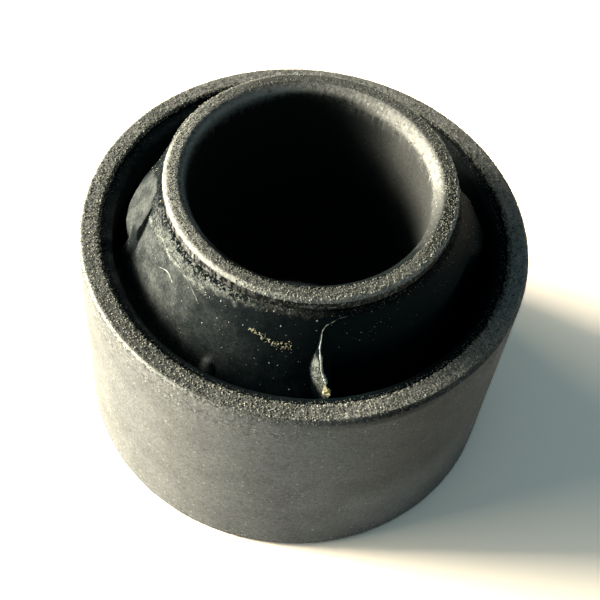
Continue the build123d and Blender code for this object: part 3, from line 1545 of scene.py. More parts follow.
@dataclass
class RubberMoulding:
    """One rubber moulding bonded between the sleeves, with two pads and two through pockets."""

    pad_starts: tuple[float, float] = (101, 281)
    pad_arc: float = 92.0
    neck_width: float = 0.5
    neck_height: float = 0.6
    foot_reach: float = 2.781
    foot_drop: float = 2.8
    valley_inner_reach: float = 3.516
    valley_outer_reach: float = 4.416
    valley_drop: float = 4.3
    lining_thickness: float = 1.25
    lining_foot_drop: float = 3.1
    lining_drop: float = 0.8
    lining_chamfer: float = 0.3
    knee_reach: float = 2.0085
    knee_rise: float = 2.0
    pad_fall: float = 2.1
    dish_depth: float = 1.4
    dish_margin: float = 0.9
    dish_slope: float = 1.288
    pocket: Pocket = Pocket()
    facet_begin: float = 63.0
    facet_ease: float = 9.0
    facet_crease: float = 0.9
    facet_top: float = 4.5
    facet_fall: float = 1.6
    brink: Profile = Profile((84, 88, 91, 95), (4.2, 3.6, 3, 2.6))
    brink_fall: float = 4.0
    seam: Profile = Profile(
        (0, 0.45, 0.53, 0.7, 0.85, 1.09, 1.54, 1.99, 2.41, 2.84, 3.33, 3.53, 5.15),
        (9.5, 9.3, 4.5, 1.8, -0.5, -1.4, -1.6, -2, -1.7, -1.1, 0.3, 0.9, 1.3),
    )
    ramp: Profile = Profile((1, 1.6, 2.2, 3.1, 3.6), (0, 0.8, 1.8, 1.9, 0.9))
    haunch: Profile = Profile(
        (-1, 0, 84, 91.5, 95, 102, 111, 124, 140), (0, 0, 1.1, 1.1, 0.85, 0.52, 0.34, 0.18, 0)
    )
    end: Profile = Profile((0.9, 1.5, 2, 2.8, 3.4), (0, 1.3, 2.3, 3, 3.4))
    crust: Profile = Profile(
        (0, 150, 160, 166, 172, 174, 177, 182, 188.5, 191, 194, 196)
        + (198, 206.5, 214.8, 222.5, 231, 246, 261, 285, 360),
        (0.65, 0.9, 1.5, 2.1, 2.1, 1.6, 1.2, 0.68, 0.62, 1, 1.34, 1.55)
        + (1.35, 1.15, 1, 0.9, 0.84, 0.72, 0.55, 0.5, 0.65),
    )
    before_pad: float = 90.0
    step_half: float = 1.3
    neck_blur: float = 1.2
    neck_edge: Edge = Edge(0.86, 0.3)
    end_blur: float = 1.5
    end_edge: Edge = Edge(2.3, 0.8)
    station_pitch: float = 0.52
    seen_pitch: float = 0.4
    step_pitch: float = 0.1
    corner_pitch: float = 0.25
    fine_step: float = 0.01
    seen: Swell = Swell(228, 70)
    seen_gain: float = 3.0
    close_fade: float = 1.0
    close_spots: tuple[tuple[float, float, float], ...] = (
        (-0.6, 1.9, step_pitch),
        (pad_arc + 1.2, 1.5, step_pitch),
        (pocket.begin + 1.6, 2.2, corner_pitch),
        (pocket.finish - 0.5, 1.0, corner_pitch),
    )
    neck_rows: int = 5
    slope_rows: int = 36
    valley_rows: int = 14
    heel_rows: int = 3
    lining_rows: int = 9
    wall_rows: int = 13
    wall_crowding: float = 1.5
    chamfer_rows: int = 3
    lip_rows: int = 6
    outer_bond_shares: tuple[float, ...] = (0.3, 0.62)
    outer_bond_foot: float = 0.6
    bottom_rows: int = 7
    inner_bond_shares: tuple[float, ...] = (0.25, 0.5, 0.75)
    inner_free: Edge = Edge(0.02, 0.3)
    outer_free: Edge = Edge(-0.02, 0.3)
    coarse_grain: Noise = Noise(0.035, 0, 1.7)
    fine_grain: Noise = Noise(0.012, 9, 0.35)
    pit_grain: Noise = Noise(0.07, 5, 0.42)
    chalk_height: float = 0.06
    chalk_grain: Noise = Noise(0.05, 3, 0.45)
    seed: int = 37
    dents: tuple[Dent, ...] = (
        Dent(17.80, 243.8, 0.80, 3.2, 0.65),
        Dent(17.76, 246.2, 0.40, 1.3, -0.75),
    )

    def __post_init__(self) -> None:
        """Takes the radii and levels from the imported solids."""
        self.low, self.high = height_span("rubber")
        self.bond_inner = radius_of("inner_sleeve")
        self.bond_outer = radius_of("rubber")
        self.sleeve_top = height_span("outer_sleeve")[1]
        self.lining_wall = self.bond_outer - self.lining_thickness
        self.knee = self.bond_inner + self.knee_reach

    # ---- shape

    def body_level(self, radius: Array, angle: Array) -> Array:
        """Level of the body's upper side at points inside the lining.

        Args:
            radius: radii of the points.
            angle: their angles.

        Returns:
            The level at each point.
        """
        reach = radius - self.bond_inner
        neck = self.high - self.neck_height
        foot = self.sleeve_top - self.foot_drop
        haunch = self.haunch.at(self.local_angle(angle))
        fall = (neck - foot) / (self.foot_reach + haunch - self.neck_width)
        slope = neck - fall * (reach - self.neck_width)
        collar = self.high - reach * self.neck_height / self.neck_width
        lining = self.lining_wall - self.bond_inner
        low = self.sleeve_top - self.valley_drop
        stops = (self.foot_reach, self.valley_inner_reach, self.valley_outer_reach, lining)
        valley = np.interp(reach, stops, (foot, low, low, self.sleeve_top - self.lining_foot_drop))
        sloped = np.where(reach > self.foot_reach, np.maximum(slope, valley), slope)
        return np.where(reach < self.neck_width, collar, sloped)

    def pad_level(self, radius: Array) -> Array:
        """Level of a pad's upper side."""
        inner = self.bond_inner
        knee_level = self.sleeve_top + self.knee_rise
        foot = knee_level - self.pad_fall * (self.lining_wall - self.knee)
        reach = [inner, inner + self.neck_width, self.knee, self.lining_wall]
        level = [self.high, self.high - self.neck_height, knee_level, foot]
        return np.interp(radius, reach, level)

    def facet_level(self, radius: Array, angle: Array) -> Array:
        """Level of a pad with the gentler facet that it has beside the flared end of its pocket.

        Args:
            radius: radii of the points.
            angle: their angles.

        Returns:
            The level at each point.
        """
        plain = self.pad_level(radius)
        out = radius - self.bond_inner - self.facet_crease
        local = self.local_angle(angle)
        brink = self.brink.at(local)
        facet = self.sleeve_top + self.facet_top - self.facet_fall * out
        facet = facet - self.brink_fall * np.maximum(radius - self.bond_inner - brink, 0.0)
        share = smooth((local - self.facet_begin) / self.facet_ease)
        return np.where(out > 0.0, plain + (np.maximum(facet, plain) - plain) * share, plain)

    def pad_share(self, radius: Array, angle: Array) -> Array:
        """How much of the section is pad at a point: 1 on a pad, 0 on the body, with a narrow step.

        Args:
            radius: radii of the points.
            angle: their angles.

        Returns:
            Shares from 0 to 1.
        """
        share = np.zeros_like(angle)
        reach = radius - self.bond_inner
        shift = self.seam.at(reach)
        half = self.step_half * self.step_pitch
        wide = half + self.neck_blur * self.neck_edge.short(reach)
        late = self.end.at(reach)
        slack = half + self.end_blur * self.end_edge.past(reach)
        ramp = self.ramp.at(reach)
        for start in self.pad_starts:
            local = np.mod(angle - start + self.before_pad, FULL_TURN) - self.before_pad
            rise = smooth((local - shift + wide + ramp) / (2 * wide + ramp))
            fall = smooth((self.pad_arc + late + slack - local) / (2 * slack))
            share = np.maximum(share, rise * fall)
        return share

    def top_level(self, radius: Array, angle: Array) -> Array:
        """Level of the upper side."""
        body = self.body_level(radius, angle)
        pad = np.maximum(body, self.facet_level(radius, angle))
        level = body + (pad - body) * self.pad_share(radius, angle)
        for dent in self.dents:
            level = level + dent.height(radius, angle)
        return level

    def bottom_level(self, radius: Array) -> Array:
        """Level of the shallow dish on the lower side."""
        first = self.bond_inner + self.dish_margin
        last = self.bond_outer - self.dish_margin
        crown = self.low + self.dish_depth
        reach = [first, first + self.dish_slope, last - self.dish_slope, last]
        return np.interp(radius, reach, [self.low, crown, crown, self.low])

    def local_angle(self, angle: Array) -> Array:
        """Angle from the start of the pad before it, 0 to 180."""
        return np.mod(angle - self.pad_starts[0], HALF_TURN)

    def edges(self, angle: Array) -> tuple[Array, Array]:
        """Radii of the pockets' inner and outer edges, eased across the rubber between pockets.

        Args:
            angle: station angles.

        Returns:
            Inner radii and outer radii.
        """
        local = self.local_angle(angle)
        pocket = self.pocket
        held = np.clip(local, pocket.begin, pocket.finish)
        inner = self.knee + pocket.inner_gain(held, self.knee)
        outer = self.lining_wall - pocket.outer_loss(held, self.lining_wall)
        ends = np.array([pocket.begin, pocket.finish])
        inner_ends = self.knee + pocket.inner_gain(ends, self.knee)
        outer_ends = self.lining_wall - pocket.outer_loss(ends, self.lining_wall)
        along = np.where(local < pocket.begin, local + HALF_TURN, local) - pocket.finish
        ease = smooth(along / (HALF_TURN - pocket.finish + pocket.begin))
        between = (local <= pocket.begin) | (local >= pocket.finish)
        inner = np.where(between, inner_ends[1] + (inner_ends[0] - inner_ends[1]) * ease, inner)
        outer = np.where(between, outer_ends[1] + (outer_ends[0] - outer_ends[1]) * ease, outer)
        return inner, outer

    def stations(self) -> Array:
        """Angles of the mesh's spokes, close together at the steps and at the pockets' ends.

        Returns:
            Angles in rising order, from the first pad's start.
        """
        fine = np.linspace(0.0, FULL_TURN, round(FULL_TURN / self.fine_step) + 1)
        pitch = np.full(fine.shape, self.station_pitch)
        first = self.pad_starts[0]
        seen = smooth(self.seen.at(fine + first) * self.seen_gain)
        pitch = pitch + (self.seen_pitch - pitch) * seen
        for turn in (0.0, HALF_TURN):
            for centre, half, small in self.close_spots:
                away = np.abs(np.mod(fine - centre - turn + HALF_TURN, FULL_TURN) - HALF_TURN)
                blend = smooth((away - half) / self.close_fade)
                pitch = np.minimum(pitch, small + (self.station_pitch - small) * blend)
        count = np.concatenate([[0.0], np.cumsum(self.fine_step / pitch[:-1])])
        wanted = np.linspace(0.0, count[-1], int(round(count[-1])) + 1)[:-1]
        local = np.interp(wanted, count, fine)
        for turn in (0.0, HALF_TURN):
            for edge in (self.pocket.begin, self.pocket.finish):
                local[np.argmin(np.abs(local - edge - turn))] = edge + turn
        return first + local

    # ---- mesh

    def build(self, material: Material) -> Piece:
        """Builds the moulding and hangs it under the root body.

        Args:
            material: rubber finish.

        Returns:
            The moulding's object.
        """
        angle = self.stations()
        inner, outer = self.edges(angle)
        local = self.local_angle(angle)
        open_here = (local >= self.pocket.begin - TINY) & (local < self.pocket.finish - TINY)
        table = self._rows(angle, inner, outer)
        count = len(angle)
        rows = len(table.radius)
        radius = np.array(table.radius)
        level = np.array(table.level)
        turn = np.tile(angle, (rows, 1))
        points = from_polar(radius, turn, level).reshape(-1, 3)
        grid = np.arange(rows * count).reshape(rows, count)
        quads = []
        for row in range(rows):
            after = (row + 1) % rows
            keep = ~open_here if table.over_pocket[row] else np.ones(count, dtype=bool)
            spoke = np.flatnonzero(keep)
            onward = (spoke + 1) % count
            corners = [grid[row, spoke], grid[after, spoke], grid[after, onward], grid[row, onward]]
            quads.append(np.stack(corners, axis=1))
        walls, wall_quads = self._pocket_walls(table, points, grid, open_here)
        points = np.concatenate([points, walls])
        quads = np.concatenate(quads + wall_quads)
        points, quads = weld(points, quads)
        return self._finish(points, quads, material)

    def _rows(self, angle: Array, inner: Array, outer: Array) -> "RowTable":
        """Lays the rows of the section, starting at the neck and going round the moulding.

        Args:
            angle: station angles.
            inner: the pockets' inner edge at each station.
            outer: the pockets' outer edge at each station.

        Returns:
            The table of rows.
        """
        table = RowTable()
        flat = np.ones_like(angle)
        neck = self.bond_inner + self.neck_width
        for t in shares(self.neck_rows):
            self._add_top(table, flat * (self.bond_inner + t * self.neck_width), angle, False)
        for t in shares(self.slope_rows):
            self._add_top(table, neck + t * (inner - neck), angle, False)
        table.top_inner = len(table.radius)
        for t in shares(self.valley_rows):
            self._add_top(table, inner + t * (outer - inner), angle, True)
        table.top_outer = len(table.radius)
        for t in shares(self.heel_rows):
            self._add_top(table, outer + t * (self.lining_wall - outer), angle, False)
        self._add_lining(table, angle)
        for t in self.outer_bond_shares:
            table.add(flat * self.bond_outer, flat * (self._lining_top() * (1 - t) + self.low * t), False)
        table.add(flat * self.bond_outer, flat * self.low, False)
        table.add(flat * (self.bond_outer - self.outer_bond_foot), flat * self.low, False)
        for t in shares(self.heel_rows):
            self._add_bottom(table, self.lining_wall + t * (outer - self.lining_wall), False)
        table.bottom_outer = len(table.radius)
        for t in shares(self.valley_rows):
            self._add_bottom(table, outer + t * (inner - outer), True)
        table.bottom_inner = len(table.radius)
        for t in np.linspace(0.0, 1.0, self.bottom_rows):
            self._add_bottom(table, inner + t * (self.bond_inner - inner), False)
        for t in self.inner_bond_shares:
            table.add(flat * self.bond_inner, flat * (self.low * (1 - t) + self.high * t), False)
        return table

    def _lining_top(self) -> float:
        """Level of the lining's upper end."""
        return self.sleeve_top - self.lining_drop

    def _add_top(self, table: "RowTable", radius: Array, angle: Array, over: bool) -> None:
        """Adds a row on the upper side."""
        table.add(radius, self.top_level(radius, angle), over)

    def _add_bottom(self, table: "RowTable", radius: Array, over: bool) -> None:
        """Adds a row on the lower side."""
        table.add(radius, self.bottom_level(radius), over)

    def _add_lining(self, table: "RowTable", angle: Array) -> None:
        """Adds the lining's wall, its chamfer and its upper end.

        Args:
            table: rows of the section.
            angle: station angles.
        """
        flat = np.ones_like(angle)
        foot = self.top_level(flat * self.lining_wall, angle)
        top = self._lining_top()
        shoulder = top - self.lining_chamfer
        for t in shares(self.lining_rows):
            table.add(flat * self.lining_wall, foot + t * (shoulder - foot), False)
        for t in shares(self.chamfer_rows):
            cut = t * self.lining_chamfer
            table.add(flat * (self.lining_wall + cut), flat * (shoulder + cut), False)
        start = self.lining_wall + self.lining_chamfer
        for t in np.linspace(0.0, 1.0, self.lip_rows):
            table.add(flat * (start + t * (self.bond_outer - start)), flat * top, False)

    def _pocket_walls(
        self, table: "RowTable", points: Array, grid: Array, open_here: Array
    ) -> tuple[Array, list[Array]]:
        """Hangs a wall from the rim of each pocket down to the lower side.

        Args:
            table: rows of the section.
            points: vertices of the section.
            grid: vertex index by row and station.
            open_here: which spaces between stations are pocket.

        Returns:
            Added vertices and added quads.
        """
        count = len(open_here)
        starts = [s for s in range(count) if open_here[s] and not open_here[s - 1]]
        added: list[Array] = []
        quads: list[Array] = []
        total = len(points)
        for start in starts:
            length = 1
            while open_here[(start + length) % count]:
                length += 1
            spokes = [(start + k) % count for k in range(length + 1)]
            upper = [grid[table.top_inner, s] for s in spokes]
            lower = [grid[table.bottom_inner, s] for s in spokes]
            upper += [grid[row, spokes[-1]] for row in range(table.top_inner + 1, table.top_outer)]
            lower += [grid[row, spokes[-1]] for row in range(table.bottom_inner - 1, table.bottom_outer, -1)]
            upper += [grid[table.top_outer, s] for s in reversed(spokes)]
            lower += [grid[table.bottom_outer, s] for s in reversed(spokes)]
            upper += [grid[row, spokes[0]] for row in range(table.top_outer - 1, table.top_inner, -1)]
            lower += [grid[row, spokes[0]] for row in range(table.bottom_outer + 1, table.bottom_inner)]
            top = points[upper]
            foot = points[lower]
            rings = [np.array(upper)]
            for row in range(1, self.wall_rows):
                share = (row / self.wall_rows) ** self.wall_crowding
                added.append(top + share * (foot - top))
                rings.append(np.arange(total, total + len(upper)))
                total += len(upper)
            rings.append(np.array(lower))
            for over, under in zip(rings[:-1], rings[1:]):
                quads.append(np.stack([over, under, np.roll(under, -1), np.roll(over, -1)], axis=1))
        return np.concatenate(added), quads

    def _finish(self, points: Array, quads: Array, material: Material) -> Piece:
        """Works the moulding grain into the mesh and makes the object.

        Args:
            points: vertices in millimetres.
            quads: four corner indices a face.
            material: rubber finish.

        Returns:
            The moulding's object.
        """
        normal = vertex_normals(points, quads)
        radius = np.hypot(points[:, 0], points[:, 1])
        free = self.inner_free.past(radius - self.bond_inner)
        free = free * self.outer_free.short(radius - self.bond_outer)
        grain = Grain(self.seed)
        fields = RubberMarks(self, grain).fields(points)
        lumps = self.coarse_grain.at(grain, points) + self.fine_grain.single(grain, points)
        lumps += fields["pits"] * self.pit_grain.at(grain, points)
        lumps += fields["chalk"] * (self.chalk_height + self.chalk_grain.single(grain, points))
        points = points + normal * (lumps * free)[:, None]
        moulding = make_object("rubber_moulding", points, quads.tolist(), fields, material)
        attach(moulding, "root")
        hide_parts("rubber")
        LOG.info("rubber_moulding: %d vertices, %d quads", len(points), len(quads))
        return moulding


def shares(count: int) -> Array:
    """Even shares from 0, with 1 left out."""
    return np.linspace(0.0, 1.0, count, endpoint=False)


def evened(share: Array, even: float) -> Array:
    """Share with its lows raised to an even level."""
    return even + (1.0 - even) * share


@dataclass
class RubberMarks:
    """Where the rubber is dusty and lit as painted light, pitted, dashed and chalky; reach is measured out
    from the inner sleeve.
    """

    moulding: RubberMoulding
    grain: Grain
    ragged: Noise = Noise(0.16, 17, 0.6)
    crust_edge: Edge = Edge(0, 0.22)
    upper: Edge = Edge(-4.6, 0.6)
    lining: Edge = Edge(-0.25, 0.2)
    low: Edge = Edge(-1.5, 3)
    low_share: float = 0.42
    # Film by angle round the axis: painted light, thickest on the lamp side and where the lining is lit,
    # none in shade; the crust's film is partly its real chalky grain.
    slope_lit_film: Profile = Profile(
        (0, 14, 40, 140, 172, 176, 195, 210, 225, 240, 255, 270, 283, 346, 360),
        (0, 0.03, 0.07, 0.05, 0.08, 0.7, 0.92, 0.98, 0.78, 0.28, 0.18, 0.08, 0, 0, 0),
    )
    lining_lit_film: Profile = Profile(
        (0, 25, 45, 60, 75, 90, 109, 117, 124, 135, 200, 235, 300, 315, 360),
        (0.01, 0.02, 0.43, 0.93, 1, 1, 1, 0.18, 0.12, 0.4, 0.55, 0.12, 0.05, 0.02, 0.01),
    )
    crust_lit_film: Profile = Profile(
        (0, 150, 173, 190, 197, 225, 240, 262, 300, 360),
        (0.5, 0.4, 0.16, 0.22, 1, 2.7, 5, 3.4, 0.4, 0.4),
    )
    # The nub's film is a painted sheen on the lump.
    nub: Point = (17.78, 243.6)
    nub_half: Point = (0.75, 3.4)
    nub_edge: float = 1.8
    nub_sheen: float = 0.75
    # Painted shade: the film is cut on the tail by the pad's end, where the notch lies in shade.
    tail_out: Edge = Edge(17.05, 0.3)
    tail_round: Stretch = Stretch(191.8, 0.8, 197.5, 1)
    tail_shade: float = 0.7
    cloud: Noise = Noise(0.3, 31, 2.4)
    cloud_base: float = 0.85
    comb_reach: Edge = Edge(0.5, 0.16)
    comb_ragged: float = 1.4
    comb_seen: Stretch = Stretch(168, 12, 268, 20)
    even_pits: float = 0.12
    lining_pits: float = 0.3
    # Patch beside the seam: partly chalky flash, partly a painted highlight of the step face that the lamp
    # lights.
    patch_span: Profile = Profile((22.8, 24.4, 26.4, 28.9), (0.3, 1.1, 2.3, 1))
    patch_start: Edge = Edge(0, 0.7)
    patch_end: Edge = Edge(0.4, 0.3)
    patch_level: Stretch = Stretch(22.8, 2.2, 28.9, 1.2)
    patch_out: Edge = Edge(18.5, 0.4)
    patch_chalk_and_highlight: float = 1.5
    patch_even: float = 0.45
    ridge: Profile = Profile(
        (193, 195, 199.1, 203.6, 206.6, 210.5, 231, 240), (1.35, 1.3, 1.13, 0.98, 0.9, 0.85, 0.84, 0.83)
    )
    ridge_half: Edge = Edge(0.16, 0.16)
    ridge_round: Stretch = Stretch(193, 5, 238, 14)
    ridge_chalk: float = 1.7
    ridge_even: float = 0.1
    lumps: Noise = Noise(0.9, 71, 0.5)
    lumps_base: float = 0.45
    salt: Profile = Profile(
        (193, 198, 206, 214, 225, 240, 255, 270, 285),
        (0, 0.08, 0.28, 0.46, 0.62, 0.72, 0.42, 0.24, 0),
    )
    salt_even: float = 0.55
    lining_chalk: Profile = Profile((86, 96, 108, 115), (0, 0.35, 0.35, 0))

    def fields(self, points: Array) -> dict[str, Array]:
        """Values at the moulding's vertices.

        Args:
            points: vertices of the moulding.

        Returns:
            Values by attribute name.
        """
        rubber = self.moulding
        radius = np.hypot(points[:, 0], points[:, 1])
        angle = np.degrees(np.arctan2(points[:, 1], points[:, 0])) % FULL_TURN
        reach = radius - rubber.bond_inner
        ragged = self.ragged.at(self.grain, points)
        crust = self.crust_edge.past(rubber.crust.at(angle) - reach + ragged)
        upper = self.upper.past(points[:, 2] - rubber.sleeve_top)
        lining = self.lining.past(radius - rubber.lining_wall)
        lit_film = self._lit_film(radius, angle, points[:, 2], crust, lining) * (
            self.cloud_base + self.cloud.at(self.grain, points)
        )
        chalk = self._chalk(points, radius, angle, crust) + lining * self.lining_chalk.at(angle)
        pits = np.clip(crust + self.even_pits * upper, 0.0, 1.0) * (1.0 - self.lining_pits * lining)
        comb = self.comb_reach.short(reach - self.comb_ragged * ragged) * self.comb_seen.inside(angle)
        lit_film, chalk = np.clip(lit_film, 0.0, 1.0), np.clip(chalk, 0.0, 1.0)
        return {"dust": lit_film, "pits": pits, "comb": comb, "chalk": chalk}

    def _lit_film(self, radius: Array, angle: Array, level: Array, crust: Array, lining: Array) -> Array:
        """Dusty film on the slope, the lining and the crust, laid thickest where the lamp lights them as
        painted light and thinner lower down; a painted sheen on the nub, painted shade on the tail.

        Args:
            radius: radii of the vertices.
            angle: their angles.
            level: their heights.
            crust: how much crust lies on them.
            lining: how much they belong to the lining.

        Returns:
            How much film there is at each.
        """
        above = level - self.moulding.sleeve_top
        slope = self.slope_lit_film.at(angle) * (1.0 - self.low_share * self.low.short(above)) * (1.0 - lining)
        lit_film = slope + self.lining_lit_film.at(angle) * lining
        lit_film = lit_film * (1.0 + (self.crust_lit_film.at(angle) - 1.0) * crust) * self.upper.past(above)
        away = np.hypot((radius - self.nub[0]) / self.nub_half[0], (angle - self.nub[1]) / self.nub_half[1])
        nub = smooth(self.nub_edge - self.nub_edge * away)
        tail = self.tail_out.past(radius) * self.tail_round.inside(angle)
        return (lit_film + self.nub_sheen * nub) * (1.0 - self.tail_shade * tail)

    def _chalk(self, points: Array, radius: Array, angle: Array, crust: Array) -> Array:
        """Chalk on the patch beside the seam, which is also a painted highlight of its lit step face, along
        the crust's ridge and salted over the crust.

        Args:
            points: vertices of the moulding.
            radius: their radii.
            angle: their angles.
            crust: how much crust lies on them.

        Returns:
            How much chalk there is at each.
        """
        reach, level = radius - self.moulding.bond_inner, points[:, 2]
        past_seam = angle - (self.moulding.pad_starts[1] + self.moulding.seam.at(reach))
        patch = self.patch_start.past(past_seam + self.patch_span.at(level))
        patch = patch * self.patch_end.short(past_seam)
        patch = patch * self.patch_level.inside(level) * self.patch_out.short(radius)
        ridge = self.ridge_half.short(np.abs(reach - self.ridge.at(angle))) * self.ridge_round.inside(angle)
        lumpy = np.clip(self.lumps_base + self.lumps.at(self.grain, points), 0.0, 1.0)
        patch = self.patch_chalk_and_highlight * patch * evened(lumpy, self.patch_even)
        ridge = self.ridge_chalk * ridge * evened(lumpy, self.ridge_even)
        salt = self.salt.at(angle) * crust * evened(lumpy, self.salt_even)
        return np.maximum.reduce([patch, ridge, salt])


@frozen
class Strand:
    """Thin raised thread of rubber, along spots given as radius and angle."""

    spots: tuple[tuple[float, float], ...]
    thickness: tuple[float, ...]
    tints: tuple[float, ...]


@dataclass
class RubberResidue:
    """Flash, threads, flakes and specks that the moulding left on the rubber."""

    moulding: RubberMoulding
    seed: int = 53
    lift: float = 0.03
    probe: float = 0.05
    steepest: float = 4.0
    strand_sides: int = 7
    strand_cuts: int = 12
    strand_passes: int = 6
    strand_tip: float = 0.004
    cluster: int = 130
    cluster_line: tuple[Point, ...] = (
        ((15.71, 255.4), (15.76, 257.9), (15.84, 260.5)) + ((15.95, 264.2), (16, 267), (15.94, 270))
    )
    ridge: int = 190
    ridge_line: Profile = Profile((0, 0.1, 0.3, 0.4, 1), (15.8, 15.63, 15.42, 15.36, 15.34))
    crust: int = 2600
    slope: int = 640
    granule_spot: Point = (18.3, 282)
    granule_lift: float = 0.42
    granule_lumps: int = 9
    seam: Strand = Strand(
        (
            (14.98, 288.9), (15.03, 285.3), (15.18, 283), (15.36, 280.9), (15.59, 279.9),
            (16.04, 279.7), (16.49, 279.3), (16.91, 279.6), (17.34, 280.3), (17.83, 281.7),
            (18.05, 282.2),
        ),
        (0.02, 0.03, 0.05, 0.04, 0.035, 0.05, 0.09, 0.09, 0.12, 0.16, 0.1),
        (-0.9, -0.8, -0.7, -0.6, -0.5, -0.35, -0.1, -0.1, -0.2, -0.1, 0.1),
    )
    curl: Strand = Strand(
        ((16.12, 213.2), (15.97, 215.4), (15.88, 217.4), (15.88, 219.2), (15.94, 220.7), (15.98, 221.8)),
        (0.02, 0.03, 0.035, 0.04, 0.07, 0.05),
        (-0.5, -0.2, 0.1, 0.3, 0.3, 0.3),
    )
    thread: Strand = Strand(
        ((15.11, 218.5), (15.22, 223.1), (15.29, 225.5), (15.39, 227.8))
        + ((15.58, 231.3), (15.71, 233.5), (15.82, 235)),
        (0.015, 0.02, 0.025, 0.025, 0.03, 0.035, 0.055),
        (-0.6, -0.45, -0.45, -0.45, -0.35, -0.2, 0),
    )
    specks: tuple[tuple[float, float, float], ...] = (
        (15.07, 277.9, 0.1), (15.35, 265.7, 0.08), (15.67, 252.7, 0.08), (15.78, 247.6, 0.09),
        (15.27, 243, 0.11), (15.85, 243, 0.07), (14.88, 262.6, 0.1), (16.63, 263.6, 0.09),
        (16.66, 266.5, 0.07), (17.49, 271.1, 0.09), (16.3, 238, 0.08), (16.05, 224, 0.08),
        (15.4, 236.4, 0.09), (15.62, 229, 0.07), (16.2, 228, 0.07), (20.18, 277.4, 0.12),
    )

    def build(self, material: Material) -> None:
        """Builds the strands, the flakes with the specks, and the granule.

        Args:
            material: finish of the residue.
        """
        strands = {"seam_flash": self.seam, "curl_thread": self.curl, "long_thread": self.thread}
        for name, strand in strands.items():
            self._strand(name, strand, material)
        self._flakes(material)
        self._granule(material)

    def _on_surface(self, radius: Array, angle: Array, lift: float) -> Array:
        """Points on the rubber's upper side, raised by a lift along its slope's normal.

        Args:
            radius: radii of the points.
            angle: their angles.
            lift: distance off the surface.

        Returns:
            The raised points.
        """
        level = self.moulding.top_level(radius, angle)
        before = self.moulding.top_level(radius - self.probe, angle)
        after = self.moulding.top_level(radius + self.probe, angle)
        fall = np.clip((before - after) / (2 * self.probe), 0.0, self.steepest)
        size = np.hypot(1.0, fall)
        return from_polar(radius + lift * fall / size, angle, level + lift / size)

    def _strand(self, name: str, strand: Strand, material: Material) -> None:
        """Lays one thread as a lumpy tube along its spots.

        Args:
            name: name of the piece.
            strand: its spots, thickness and tints.
            material: finish of the residue.
        """
        sides = self.strand_sides
        spots = np.array(strand.spots)
        place = np.arange(len(spots), dtype=float)
        fine = np.linspace(0.0, place[-1], self.strand_cuts * (len(spots) - 1) + 1)
        radius = np.interp(fine, place, spots[:, 0])
        angle = np.interp(fine, place, spots[:, 1])
        thick = np.interp(fine, place, strand.thickness)
        tint = np.interp(fine, place, strand.tints)
        path = self._on_surface(radius, angle, self.lift)
        for _ in range(self.strand_passes):
            path[1:-1] = 0.25 * path[:-2] + 0.5 * path[1:-1] + 0.25 * path[2:]
        lumps = Grain(self.seed).layered(path, 0.28, 2)
        thick = thick * (1.0 + 0.75 * np.clip(lumps, -1.0, 1.0))
        thick[0] = thick[-1] = self.strand_tip
        tint = np.repeat(np.clip(tint - 0.5 * np.clip(-lumps, 0.0, 1.0), -0.9, 1.0), sides)
        along = np.gradient(path, axis=0)
        along /= np.linalg.norm(along, axis=1, keepdims=True)
        up = np.array([0.0, 0.0, 1.0])
        across = np.cross(along, up)
        across /= np.linalg.norm(across, axis=1, keepdims=True)
        over = np.cross(across, along)
        turn = np.linspace(0.0, 2.0 * math.pi, sides, endpoint=False)
        ring = np.cos(turn)[None, :, None] * across[:, None] + np.sin(turn)[None, :, None] * over[:, None]
        points = (path[:, None] + ring * thick[:, None, None]).reshape(-1, 3)
        rings = len(path)
        faces = [
            tuple(r * sides + (j + step) % sides for r, step in ((k, 0), (k + 1, 0), (k + 1, 1), (k, 1)))
            for k in range(rings - 1)
            for j in range(sides)
        ]
        faces += [tuple(range(sides)), tuple(reversed(range((rings - 1) * sides, rings * sides)))]
        piece = make_object(name, points, faces, {"tint": tint}, material)
        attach(piece, "root")
        LOG.info("%s: %d rings", name, rings)

    def _flakes(self, material: Material) -> None:
        """Strews the flake cluster, the crumbs of the ridge, crust and slope, and the single specks.

        Args:
            material: finish of the residue.
        """
        draw = np.random.default_rng(self.seed)
        radius, angle, size, tint = [], [], [], []
        line = np.array(self.cluster_line)
        stops = np.linspace(0.0, 1.0, len(line))
        share = draw.random(self.cluster)
        middle = np.interp(share, stops, line[:, 0])
        radius.append(middle + draw.normal(size=self.cluster) * 0.07 * (0.35 + share))
        angle.append(np.interp(share, stops, line[:, 1]) + draw.normal(size=self.cluster) * 0.45)
        size.append(0.04 + 0.08 * draw.random(self.cluster))
        tint.append(0.45 + 0.55 * draw.random(self.cluster))
        share = draw.random(self.ridge)
        radius.append(self.ridge_line.at(share) + draw.normal(size=self.ridge) * 0.07)
        angle.append(194.5 + 45.0 * share)
        size.append(0.025 + 0.055 * draw.random(self.ridge) ** 2)
        tint.append(0.15 + 0.5 * draw.random(self.ridge))
        share = draw.random(self.crust)
        angle.append(FULL_TURN * draw.random(self.crust))
        edge = self.moulding.crust.at(angle[-1])
        radius.append(self.moulding.bond_inner + 0.05 + (edge - 0.05) * share)
        size.append(0.03 + 0.06 * draw.random(self.crust) ** 2)
        tint.append(np.where(draw.random(self.crust) < 0.10, 0.3 + 0.5 * draw.random(self.crust), -1.0))
        angle.append(FULL_TURN * draw.random(self.slope))
        radius.append(15.2 + 3.2 * draw.random(self.slope))
        size.append(0.03 + 0.060 * draw.random(self.slope) ** 3)
        tint.append(0.3 * draw.random(self.slope))
        marks = np.array(self.specks)
        radius.append(marks[:, 0])
        angle.append(marks[:, 1])
        size.append(1.25 * marks[:, 2])
        tint.append(0.2 * draw.random(len(marks)))
        radius, angle = np.concatenate(radius), np.concatenate(angle)
        size, tint = np.concatenate(size), np.concatenate(tint)
        kept = ~self._over_pocket(radius, angle)
